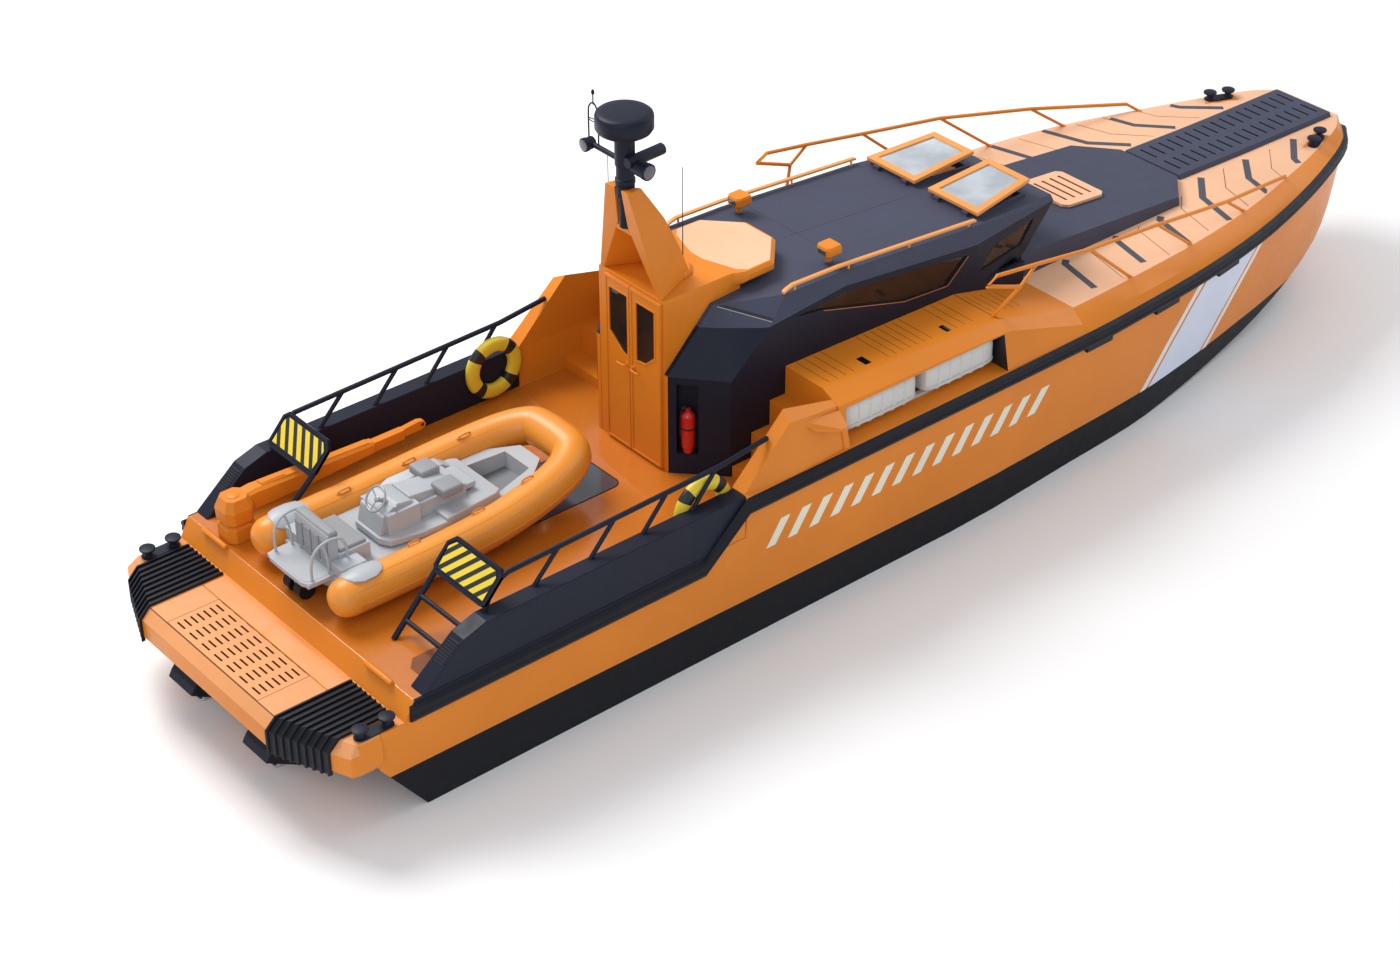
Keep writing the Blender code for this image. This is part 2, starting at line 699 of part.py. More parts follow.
def build_side_deck(side):
    """Side deck with its steps, wing and raft bay, as one welded structure."""
    name = f"side_deck_{side_name(side)}"
    inner_y = HOUSE_Y + SEAT
    base = RAIL_HIGH + SEAT
    shape = bmesh.new()
    sections = []
    fore_x = FOREDECK_X - SEAT
    deck_y, deck_z = station_value(FOREDECK_X, 7), station_value(FOREDECK_X, 8)
    bevel_y, bevel_z = station_value(FOREDECK_X, 5), station_value(FOREDECK_X, 6)
    for x, top_z, flat_y, edge_y, edge_z in (
        (SIDE_DECK_AFT_X + SEAT, SIDE_DECK_Z, SIDE_DECK_FLAT_Y, 1.94, 0.985),
        (SIDE_DECK_FALL_X, SIDE_DECK_FALL_Z, SIDE_DECK_FALL_Y, 1.965, 0.95),
        (fore_x, deck_z, deck_y, bevel_y, bevel_z),
    ):
        sections.append([(x, inner_y, base), (x, inner_y, top_z), (x, flat_y, top_z), (x, edge_y, edge_z),
                         (x, 2.06, base)])
    add_loft(shape, sections)
    flip_side(shape, side)
    deck = finish(name, shape, "orange_paint")

    wing = bmesh.new()
    join = 0.02
    add_loft(wing, [
        [(BULWARK_END_X + SEAT, WING_INNER_Y, base), (BULWARK_END_X + SEAT, WING_INNER_Y, base + 0.02),
         (BULWARK_END_X + SEAT, 2.03, base + 0.02), (BULWARK_END_X + SEAT, 2.075, base)],
        [(0.53, WING_INNER_Y, base), (0.53, WING_INNER_Y, 1.20), (0.48, 2.00, 1.12), (0.50, 2.075, base)],
        [(SIDE_DECK_AFT_X + join, WING_INNER_Y, base), (SIDE_DECK_AFT_X + join, WING_INNER_Y, 1.025),
         (SIDE_DECK_AFT_X + join, 1.92, 0.985), (SIDE_DECK_AFT_X + join, 2.045, base)],
    ])
    flip_side(wing, side)
    combine(deck, finish_cutter(f"{name}_wing", wing), "UNION")

    ledge = bmesh.new()
    add_hull(ledge, [(x, y, z - drop) for x, y, z in WING_LEDGE for drop in (0.0, 0.035)])
    flip_side(ledge, side)
    combine(deck, finish_cutter(f"{name}_ledge", ledge), "UNION")

    steps = bmesh.new()
    stair = [(0.48, SEAT), (0.48, 0.13), (0.75, 0.13), (0.75, 0.45), (1.01, 0.45), (1.01, 0.755),
             (SIDE_DECK_AFT_X + 0.05, 0.755), (SIDE_DECK_AFT_X + 0.05, 0.52), (SIDE_DECK_AFT_X - SEAT, 0.52),
             (SIDE_DECK_AFT_X - SEAT, SEAT)]
    add_prism(steps, stair, inner_y, WING_INNER_Y - SEAT, "y")
    flip_side(steps, side)
    combine(deck, finish_cutter(f"{name}_steps", steps), "UNION")

    bay = bmesh.new()
    add_box(bay, (BAY_AFT_X, BAY_INNER_Y, 0.3), (BAY_FORE_X, 2.3, BAY_TOP_Z))
    flip_side(bay, side)
    combine(deck, finish_cutter(f"{name}_bay", bay))
    return deck


def build_rafts(side):
    """Two boxy canisters with rounded ends in one cradle."""
    name = f"life_rafts_{side_name(side)}"
    shape = bmesh.new()
    add_box(shape, (1.50, 1.48, RAIL_HIGH + SEAT), (3.58, 1.82, RAIL_HIGH + 0.04))
    flip_side(shape, side)
    cradle = finish(name, shape, "white_plastic", smooth=35)
    canisters = bmesh.new()
    for middle in RAFT_MIDDLES:
        sections = []
        ends = ((0.38, 1.0), (0.47, 0.96), (0.525, 0.80))
        for along, scale in [(-reach, share) for reach, share in reversed(ends)] + list(ends):
            ring = []
            for k in range(12):
                angle = math.radians(30 * k + 15)
                across = math.copysign(abs(math.cos(angle)) ** RAFT_ROUNDNESS, math.cos(angle))
                up = math.copysign(abs(math.sin(angle)) ** RAFT_ROUNDNESS, math.sin(angle))
                ring.append((middle + along, RAFT_Y + RAFT_HALF_WIDTH * scale * across,
                             RAFT_Z + RAFT_HALF_HEIGHT * scale * up))
            sections.append(ring)
        add_loft(canisters, sections)
    flip_side(canisters, side)
    combine(cradle, finish_cutter(f"{name}_canisters", canisters), "UNION")
    return cradle


# Deckhouse

def mirrored(points):
    """Points on both sides of the centreline."""
    return [(x, s * y, z) for x, y, z in points for s in (1, -1)]


def wheelhouse_body(shape, inset):
    """The wheelhouse's upper body, shrunk by inset for its inside."""
    points = []
    for x, y, z in ROOF_POINTS:
        toward = 1 if x < 2.0 else -1
        points.append((x + toward * inset, y - inset, z - inset if z > 1.1 else z - 0.02 * (inset > 0)))
    add_hull(shape, mirrored(points))


def roof_z(x):
    """Height of the roof's flat top along the length."""
    for (x0, z0), (x1, z1) in zip(ROOF_LINE, ROOF_LINE[1:]):
        if x <= x1:
            return z0 + (z1 - z0) * (x - x0) / (x1 - x0)
    return ROOF_LINE[-1][1]


def wheelhouse_shell(name):
    """Hollow shell of the wheelhouse, open to the door housing and to the cabin floor."""
    shape = bmesh.new()
    wheelhouse_body(shape, 0.0)
    shell = finish(name, shape, "navy_paint")

    lower = bmesh.new()
    half = [(0.0, 0.60), (0.46, 1.098), (4.90, 1.098)]
    add_prism(lower, full_outline(half), SEAT, 1.05, "z")
    combine(shell, finish_cutter(f"{name}_lower", lower), "UNION")

    inside = bmesh.new()
    wheelhouse_body(inside, WALL)
    combine(shell, finish_cutter(f"{name}_inside", inside))
    below = bmesh.new()
    half = [(0.62, 0.59), (0.62, 1.048), (4.85, 1.048)]
    add_prism(below, full_outline(half), -0.2, 1.08, "z")
    combine(shell, finish_cutter(f"{name}_inside_low", below))

    passage = bmesh.new()
    add_box(passage, (-0.5, -HOUSING_HALF - SEAT, -0.2), (HOUSING_FORE_X + SEAT, HOUSING_HALF + SEAT, 2.5))
    combine(shell, finish_cutter(f"{name}_passage", passage))
    return shell


def build_wheelhouse():
    """Wheelhouse walls with windows and the niches, and the roof as its own panel with two hatchways."""
    walls = wheelhouse_shell("wheelhouse")
    above = bmesh.new()
    add_prism(above, list(ROOF_SEAM) + [(5.8, 2.4), (-0.5, 2.4)], -2.0, 2.0, "y")
    combine(walls, finish_cutter("wheelhouse_above", above))

    windows = bmesh.new()
    for side in (1, -1):
        for outline in (SIDE_WINDOW, QUARTER_WINDOW):
            low, high = sorted((side * 0.85, side * 1.3))
            add_prism(windows, outline, low, high, "y")
    combine(walls, finish_cutter("wheelhouse_windows", windows))

    front = bmesh.new()
    add_box(front, (4.8, -WINDSCREEN_HALF, WINDSCREEN_LOW), (5.8, WINDSCREEN_HALF, WINDSCREEN_HIGH))
    combine(walls, finish_cutter("wheelhouse_front", front))

    centre, along, outward = niche_place()
    for side in (1, -1):
        for word, first, last, front, back, low, high, way in (
            ("liner", -NICHE_HALF - 0.012, NICHE_HALF + 0.03, -0.01, -NICHE_DEPTH - 0.015, 0.94,
             NICHE_HIGH + 0.03, "UNION"),
            ("niche", -NICHE_HALF, NICHE_HALF, 0.10, -NICHE_DEPTH, NICHE_LOW, NICHE_HIGH, "DIFFERENCE"),
        ):
            outline = []
            for share, reach in ((first, front), (last, front), (last, back), (first, back)):
                point = centre + along * share + outward * reach
                outline.append((point.x, point.y))
            shape = bmesh.new()
            add_prism(shape, outline, low, high, "z")
            flip_side(shape, side)
            combine(walls, finish_cutter(f"{word}_{side_name(side)}", shape), way)

    roof = wheelhouse_shell("wheelhouse_roof")
    over = bmesh.new()
    add_prism(over, [(x, z + 2 * SEAT) for x, z in ROOF_SEAM] + [(5.8, 2.4), (-0.5, 2.4)], -2.0, 2.0, "y")
    combine(roof, finish_cutter("roof_over", over), "INTERSECT")
    for side in (1, -1):
        coaming = bmesh.new()
        well = bmesh.new()
        for shape, inset, low, high in ((coaming, 0.03, -0.03, COAMING), (well, 0.07, -0.2, 0.3)):
            outline = inset_outline(HATCH_OUTLINE, inset)
            add_loft(shape, [[(x, side * y, roof_z(x) + lift) for x, y in outline] for lift in (low, high)])
        combine(roof, finish_cutter(f"coaming_{side_name(side)}", coaming), "UNION")
        combine(roof, finish_cutter(f"hatchway_{side_name(side)}", well))
        blocks = bmesh.new()
        for y in (0.22, 0.68):
            add_box(blocks, (HATCH_HINGE[0] - 0.035, y, roof_z(HATCH_HINGE[0]) - 0.02),
                    (HATCH_HINGE[0] - SEAT, y + 0.09, HATCH_HINGE[1] - 0.0005))
        flip_side(blocks, side)
        combine(roof, finish_cutter(f"hatch_hinges_{side_name(side)}", blocks), "UNION", overlapping=True)
        light = bmesh.new()
        corners = [(-1, -0.7), (-0.7, -1), (0.9, -1), (1, -0.8), (1, 0.8), (0.9, 1), (-0.7, 1), (-1, 0.7)]
        add_loft(light, [
            [(LIGHT_X + a * LIGHT_HALF * share, LIGHT_Y + b * LIGHT_HALF * share, z) for a, b in corners]
            for share, z in ((0.75, 1.985), (1.0, 2.01), (1.0, 2.085), (0.9, 2.11))
        ])
        add_turned(light, LIGHT_X, LIGHT_Y, ((0.05, 1.86), (0.05, 1.89), (0.032, 1.90), (0.032, 2.0)), 12)
        flip_side(light, side)
        combine(roof, finish_cutter(f"roof_light_{side_name(side)}", light), "UNION", overlapping=True)
    return walls, roof


def inset_outline(outline, inset):
    """A convex outline with every edge moved inward."""
    count = len(outline)
    middle = Vector((sum(x for x, y in outline) / count, sum(y for x, y in outline) / count))
    lines = []
    for i in range(count):
        a = Vector(outline[i])
        b = Vector(outline[(i + 1) % count])
        normal = Vector((b.y - a.y, a.x - b.x)).normalized()
        if normal.dot(middle - a) < 0:
            normal = -normal
        lines.append((a + normal * inset, (b - a).normalized()))
    points = []
    for i in range(count):
        p, d = lines[i - 1]
        q, e = lines[i]
        cross = d.x * e.y - d.y * e.x
        share = ((q.x - p.x) * e.y - (q.y - p.y) * e.x) / cross
        points.append((p.x + d.x * share, p.y + d.y * share))
    return points


def niche_place():
    """Centre of a niche on the slanting aft wall, with the directions along and out of the wall."""
    along = Vector((0.46, 0.498)).normalized()
    return Vector(NICHE_CENTRE), along, Vector((-along.y, along.x))


def build_glazing():
    """Windscreen pane and one long pane in each side."""
    gap = 0.0006
    low = WINDSCREEN_LOW + gap
    high = WINDSCREEN_HIGH - gap
    shape = bmesh.new()
    face = [(3.94 + low, low), (3.94 + high, high)]
    back = [(3.925 + high, high), (3.925 + low, low)]
    add_prism(shape, face + back, -WINDSCREEN_HALF + gap, WINDSCREEN_HALF - gap, "y")
    finish("windscreen", shape, "tinted_glass")
    for side in (1, -1):
        shape = bmesh.new()
        add_prism(shape, scaled_outline(SIDE_WINDOW, 0.996), 1.064, 1.074, "y")
        flip_side(shape, side)
        finish(f"side_window_{side_name(side)}", shape, "tinted_glass")


def scaled_outline(outline, factor):
    """An outline shrunk about its middle."""
    mid_a = sum(a for a, b in outline) / len(outline)
    mid_b = sum(b for a, b in outline) / len(outline)
    return [(mid_a + (a - mid_a) * factor, mid_b + (b - mid_b) * factor) for a, b in outline]


def build_housing():
    """Orange door housing with its octagonal roof cap."""
    shape = bmesh.new()
    add_box(shape, (0.0, -HOUSING_HALF, SEAT), (HOUSING_FORE_X, HOUSING_HALF, 2.0))
    housing = finish("door_housing", shape, "orange_paint")
    cap = bmesh.new()
    rim = [(0.0, 0.0), (0.0, HOUSING_HALF), (0.95, HOUSING_HALF), (1.10, 0.63), (1.47, 0.62), (1.83, 0.24),
           (1.83, 0.0)]
    rings = []
    for inset, z in ((0.05, 1.95), (0.0, 2.00), (0.0, 2.06), (0.03, HOUSING_TOP)):
        ring = []
        for x, y in rim:
            fore = inset if x > 1.0 else 0.0
            ring.append((x - fore, y - min(y, inset if x > 1.0 else inset * 0.3), z))
        rings.append([(x, y, z) for x, y, z in ring] + [(x, -y, z) for x, y, z in reversed(ring) if y > 0])
    add_loft(cap, rings)
    combine(housing, finish_cutter("housing_cap", cap), "UNION")
    inside = bmesh.new()
    add_box(inside, (WALL, -HOUSING_HALF + WALL, -0.2), (HOUSING_FORE_X + 0.2, HOUSING_HALF - WALL, 1.92))
    combine(housing, finish_cutter("housing_inside", inside))
    doorway = bmesh.new()
    add_box(doorway, (-0.2, DOORWAY_EDGES[0], DOORWAY_LOW), (WALL + 0.02, DOORWAY_EDGES[1], DOORWAY_HIGH))
    combine(housing, finish_cutter("housing_doorway", doorway))
    return housing


def build_door(side):
    """One leaf of the double door, laid against the housing and hinged at its outer edge."""
    back_x = -SEAT
    inner_y, outer_y = DOOR_LEAVES[side]
    hinge = (back_x - DOOR_THICK / 2, side * (outer_y + DOOR_HINGE_GAP), DOOR_LOW)
    shape = bmesh.new()
    add_box(shape, (back_x - DOOR_THICK, inner_y, DOOR_LOW), (back_x, outer_y, DOOR_HIGH))
    flip_side(shape, side)
    door = finish(f"door_{side_name(side)}", shape, "orange_paint", pivot=hinge)
    window = bmesh.new()
    add_prism(window, DOOR_WINDOWS[side], -0.1, 0.1, "x")
    flip_side(window, side)
    combine(door, finish_cutter(f"door_window_{side_name(side)}", window))
    return door


def build_hatch(side):
    """Tilted roof hatch lid: a frame with a glazed opening."""
    hinge_x, hinge_z = HATCH_HINGE
    shape = bmesh.new()
    add_prism(shape, HATCH_OUTLINE, 0.0, 0.045, "z")
    flip_side(shape, side)
    tilt = math.radians(-HATCH_OPEN)
    bmesh.ops.translate(shape, vec=(-hinge_x, 0, 0), verts=shape.verts)
    bmesh.ops.rotate(shape, cent=(0, 0, 0), matrix=Matrix.Rotation(tilt, 3, "Y"), verts=shape.verts)
    bmesh.ops.translate(shape, vec=(hinge_x, 0, hinge_z), verts=shape.verts)
    lid = finish(f"roof_hatch_{side_name(side)}", shape, "orange_paint", pivot=(hinge_x, 0.0, hinge_z))
    hole = bmesh.new()
    add_prism(hole, inset_outline(HATCH_OUTLINE, 0.09), 1.6, 2.2, "z")
    flip_side(hole, side)
    combine(lid, finish_cutter(f"hatch_light_{side_name(side)}", hole))
    return lid


def build_mast():
    """Orange A-frame legs on the housing, and the black mast head that stands on their bridge."""
    foot_z = HOUSING_TOP + SEAT
    leg = bmesh.new()
    rings = []
    for *corners, z in MAST_LEG:
        rings.append([(x, y, max(z, foot_z)) for x, y in corners])
    add_loft(leg, rings)
    frame = finish("mast_frame", leg, "orange_paint")
    other = bmesh.new()
    add_loft(other, rings)
    flip_side(other, -1)
    combine(frame, finish_cutter("mast_frame_leg", other), "UNION")
    for side in (1, -1):
        foot = bmesh.new()
        middle = Vector((0.50, 0.19))
        add_loft(foot, [
            [(x, y, foot_z) for x, y in MAST_FOOT],
            [(x, y, foot_z + 0.02) for x, y in MAST_FOOT],
            [(*Vector((x, y)).lerp(middle, 0.2), foot_z + 0.06) for x, y in MAST_FOOT],
        ])
        flip_side(foot, side)
        combine(frame, finish_cutter(f"mast_foot_{side_name(side)}", foot), "UNION")
    bridge = bmesh.new()
    bridge_z = MAST_HEAD[0][1]
    add_box(bridge, (-0.13, -0.27, bridge_z - 0.06), (0.03, 0.27, bridge_z))
    combine(frame, finish_cutter("mast_frame_bridge", bridge), "UNION")

    shape = bmesh.new()
    profile = [(radius, z + SEAT if z == MAST_HEAD[0][1] else z) for radius, z in MAST_HEAD]
    add_turned(shape, MAST_X, 0.0, profile, 20)
    head = finish("mast_head", shape, "navy_paint", smooth=35)
    lamps = bmesh.new()
    add_rod(lamps, (-0.13, -0.13, 3.60), (0.35, -0.13, 3.62), 0.065, 8)
    add_rod(lamps, (-0.015, -0.12, 3.56), (0.085, -0.34, 3.56), 0.075, 10)
    add_rod(lamps, (MAST_X, 0.05, 3.54), (MAST_X, 0.57, 3.54), 0.032, 8)
    add_rod(lamps, (MAST_X + 0.03, 0.57, 3.54), (MAST_X - 0.12, 0.57, 3.54), 0.07, 10)
    add_rod(lamps, (MAST_X, 0.46, 3.54), (MAST_X, 0.46, 4.17), 0.016, 6)
    combine(head, finish_cutter("mast_lamps", lamps), "UNION", overlapping=True)
    return frame, head


def build_rail(name, points, radius, posts, side):
    """An orange rail through points, standing on posts."""
    rods = bmesh.new()
    for start, end in zip(points, points[1:]):
        add_rod(rods, start, end, radius)
    for foot, top, thick in posts:
        add_post(rods, foot, top, thick)
    for point in points[1:-1]:
        add_ball(rods, point, radius * 1.02, u=8, v=6)
    flip_side(rods, side)
    shape = bmesh.new()
    add_ball(shape, Vector(points[0]).lerp(Vector(points[1]), 0.5), radius * 0.6, u=6, v=4)
    flip_side(shape, side)
    rail = finish(f"{name}_{side_name(side)}", shape, "orange_paint")
    combine(rail, finish_cutter(f"{name}_rods_{side_name(side)}", rods), "UNION", overlapping=True)
    return rail


def build_roof_rail(side):
    """Grab rail along the edge of the roof."""
    points = [(1.30, 0.97, 1.935), (1.42, 0.97, 1.975), (2.10, 0.97, 1.955), (4.14, 0.985, 1.80)]
    posts = []
    for x in (1.46, 2.24, 3.15, 4.08):
        share = (x - 2.10) / 2.04
        rail_z = 1.955 - 0.155 * share if share > 0 else 1.955 + 0.02 * (2.10 - x) / 0.68
        posts.append(((x, 0.965, roof_z(x) + 0.0015), (x, 0.975, rail_z), 0.014))
    return build_rail("roof_rail", points, 0.024, posts, side)


def build_fore_rail(side):
    """Foredeck handrail with a triangular loop at its aft end."""
    points = [(3.97, 1.90, 1.41), (3.44, 1.90, 1.61), (3.59, 1.90, 1.69), (4.22, 1.89, 1.60),
              (5.11, 1.87, 1.46), (6.35, 1.79, 1.30), (7.80, 1.62, 1.03), (9.29, 1.31, 0.74)]
    feet = (
        # foot x, foot y, top, radius
        (5.98, 1.765, (5.11, 1.87, 1.46), 0.016),
        (7.14, 1.66, (6.35, 1.79, 1.30), 0.016),
        (8.30, 1.49, (7.80, 1.62, 1.03), 0.016),
        (9.42, 1.20, (9.28, 1.31, 0.745), 0.02),
    )
    posts = [((3.735, 1.735, SIDE_DECK_FALL_Z + 0.0015), (3.97, 1.90, 1.41), 0.018)]
    for x, y, top, radius in feet:
        posts.append(((x, y, station_value(x - radius, 8) + 0.0008), top, radius))
    rail = build_rail("fore_rail", points, 0.02, posts, side)
    strut = bmesh.new()
    add_rod(strut, (3.97, 1.90, 1.41), (4.22, 1.89, 1.60), 0.018)
    flip_side(strut, side)
    combine(rail, finish_cutter(f"fore_rail_strut_{side_name(side)}", strut), "UNION", overlapping=True)
    return rail


# Foredeck

def trunk_value(x, column):
    """A column of the trunk table, read along the length."""
    for first, second in zip(TRUNK_ROWS, TRUNK_ROWS[1:]):
        if x <= second[0]:
            share = (x - first[0]) / (second[0] - first[0])
            return first[column] + share * (second[column] - first[column])
    return TRUNK_ROWS[-1][column]


def trunk_top(x):
    """Height of the trunk's top along the length."""
    return trunk_value(x, 2)


def build_trunk():
    """Low dark trunk forward of the windscreen."""
    shape = bmesh.new()
    sections = []
    for x in stations_between(TRUNK_AFT_X, TRUNK_FORE_X, [row[0] for row in TRUNK_ROWS]):
        half = trunk_value(x, 1)
        base = station_value(x, 8) + SEAT
        top = trunk_top(x)
        sections.append([(x, -half, base), (x, half, base), (x, half * 0.97, top), (x, -half * 0.97, top)])
    add_loft(shape, sections)
    trunk = finish("foredeck_trunk", shape, "navy_paint")
    blocks = bmesh.new()
    for y in (-0.26, 0.18):
        add_box(blocks, (FORE_HATCH_X - 0.03, y, trunk_top(FORE_HATCH_X) - 0.02),
                (FORE_HATCH_X - SEAT, y + 0.08, trunk_top(FORE_HATCH_X) + FORE_HATCH_LIFT - 0.0005))
    combine(trunk, finish_cutter("foredeck_hatch_hinges", blocks), "UNION", overlapping=True)
    return trunk


def build_fore_hatch():
    """Louvred hatch lid on the trunk, hinged at its aft edge."""
    shape = bmesh.new()
    corners = full_outline(list(FORE_HATCH_OUTLINE))
    add_loft(shape, [[(x, y, trunk_top(x) + lift) for x, y in corners] for lift in (FORE_HATCH_LIFT, 0.045)])
    pivot = (FORE_HATCH_X, 0.0, trunk_top(FORE_HATCH_X) + FORE_HATCH_LIFT)
    lid = finish("foredeck_hatch", shape, "orange_paint", pivot=pivot)
    slots = bmesh.new()
    for x in (6.46, 6.60, 6.74, 6.88):
        add_box(slots, (x, -0.27, trunk_top(x) + 0.02), (x + 0.035, 0.27, trunk_top(x) + 0.2))
    combine(lid, finish_cutter("foredeck_hatch_slots", slots))
    return lid


def build_walkway():
    """Raised slotted walkway panel to the bow."""
    shape = bmesh.new()
    sections = []
    for x in stations_between(WALKWAY_AFT_X, WALKWAY_FORE_X):
        base = station_value(x, 8) + SEAT
        sections.append([(x, -0.47, base), (x, -0.44, base + 0.06), (x, 0.44, base + 0.06), (x, 0.47, base)])
    add_loft(shape, sections)
    return finish("bow_walkway", shape, "navy_paint")


# Loose gear

def build_extinguisher(side):
    """Red cylinder with a domed head on a short foot, standing in its niche."""
    centre, along, outward = niche_place()
    spot = centre - outward * (NICHE_DEPTH - BOTTLE_RADIUS - 0.004)
    low = NICHE_LOW + SEAT
    shoulder = NICHE_LOW + BOTTLE_FOOT + 0.42
    shape = bmesh.new()
    add_turned(shape, spot.x, spot.y, (
        (0.05, low),
        (0.05, low + BOTTLE_FOOT - 0.01),
        (BOTTLE_RADIUS * 0.9, low + BOTTLE_FOOT),
        (BOTTLE_RADIUS, low + BOTTLE_FOOT + 0.02),
        (BOTTLE_RADIUS, shoulder - 0.03),
        (BOTTLE_RADIUS * 0.75, shoulder + 0.02),
        (0.022, shoulder + 0.045),
        (0.022, shoulder + 0.10),
    ), 14)
    flip_side(shape, side)
    return finish(f"extinguisher_{side_name(side)}", shape, "red_paint", smooth=40)


def build_life_ring(side):
    """Flattened ring hung on the bulwark's inner face."""
    shape = bmesh.new()
    ring_radius = 0.29
    tube = 0.085
    around = 20
    across = 8
    rows = []
    for i in range(around):
        angle = 2 * math.pi * i / around
        row = []
        for k in range(across):
            turn = 2 * math.pi * k / across
            reach = ring_radius + tube * math.cos(turn)
            place = (-0.54 + reach * math.cos(angle), BULWARK_INNER_Y - 0.0603 + 0.06 * math.sin(turn),
                     0.42 + reach * math.sin(angle))
            row.append(shape.verts.new(place))
        rows.append(row)
    for i in range(around):
        for k in range(across):
            ahead = rows[(i + 1) % around]
            shape.faces.new((rows[i][k], ahead[k], ahead[(k + 1) % across], rows[i][(k + 1) % across]))
    flip_side(shape, side)
    return finish(f"life_ring_{side_name(side)}", shape, "yellow_plastic", smooth=60)


# Crane

def build_crane():
    """Deck crane stowed along the port bulwark: pedestal, head with boom, and a sliding inner boom."""
    x, y = CRANE_X, CRANE_Y
    middle = y + 0.02
    shape = bmesh.new()
    plan = [(-0.17, -0.10), (-0.10, -0.17), (0.10, -0.17), (0.17, -0.10), (0.17, 0.10), (0.10, 0.17),
            (-0.10, 0.17), (-0.17, 0.10)]
    add_loft(shape, [[(x + a * s, y + b * s, z) for a, b in plan]
                     for z, s in ((SEAT, 1.0), (0.17, 1.0), (0.20, 0.8))])
    pedestal = finish("crane_pedestal", shape, "orange_paint")

    shape = bmesh.new()
    add_loft(shape, [[(x + a * s, y + b * s, z) for a, b in plan]
                     for z, s in ((0.20 + SEAT, 0.8), (0.23, 1.0), (0.38, 1.04), (0.50, 0.75))])
    boom_head = finish("crane_boom", shape, "orange_paint")
    boom = bmesh.new()
    sections = []
    for along, half, low, high in (
        (x - 0.02, 0.10, 0.28, 0.47),
        (x + 0.25, 0.105, 0.25, 0.50),
        (x + 0.85, 0.085, 0.25, 0.47),
        (-2.45, 0.070, 0.29, 0.44),
    ):
        octagon = [(-half, low + 0.03), (-half * 0.6, low), (half * 0.6, low), (half, low + 0.03),
                   (half, high - 0.03), (half * 0.6, high), (-half * 0.6, high), (-half, high - 0.03)]
        sections.append([(along, middle + across, z) for across, z in octagon])
    add_loft(boom, sections)
    combine(boom_head, finish_cutter("crane_boom_beam", boom), "UNION")
    bore = bmesh.new()
    add_box(bore, (-3.42, middle - 0.054, 0.306), (-2.2, middle + 0.054, 0.424))
    combine(boom_head, finish_cutter("crane_boom_bore", bore))

    shape = bmesh.new()
    add_box(shape, (-3.40, middle - 0.0485, 0.3065), (-2.05, middle + 0.0485, 0.4185))
    tip = finish("crane_extension", shape, "orange_paint")
    lug = bmesh.new()
    head = [(-2.10, 0.33), (-1.84, 0.325), (-1.775, 0.345), (-1.755, 0.38), (-1.775, 0.42), (-1.84, 0.44),
            (-2.10, 0.415)]
    add_prism(lug, head, middle - 0.035, middle + 0.035, "y")
    combine(tip, finish_cutter("crane_lug", lug), "UNION")
    return pedestal, boom_head, tip


# Tender

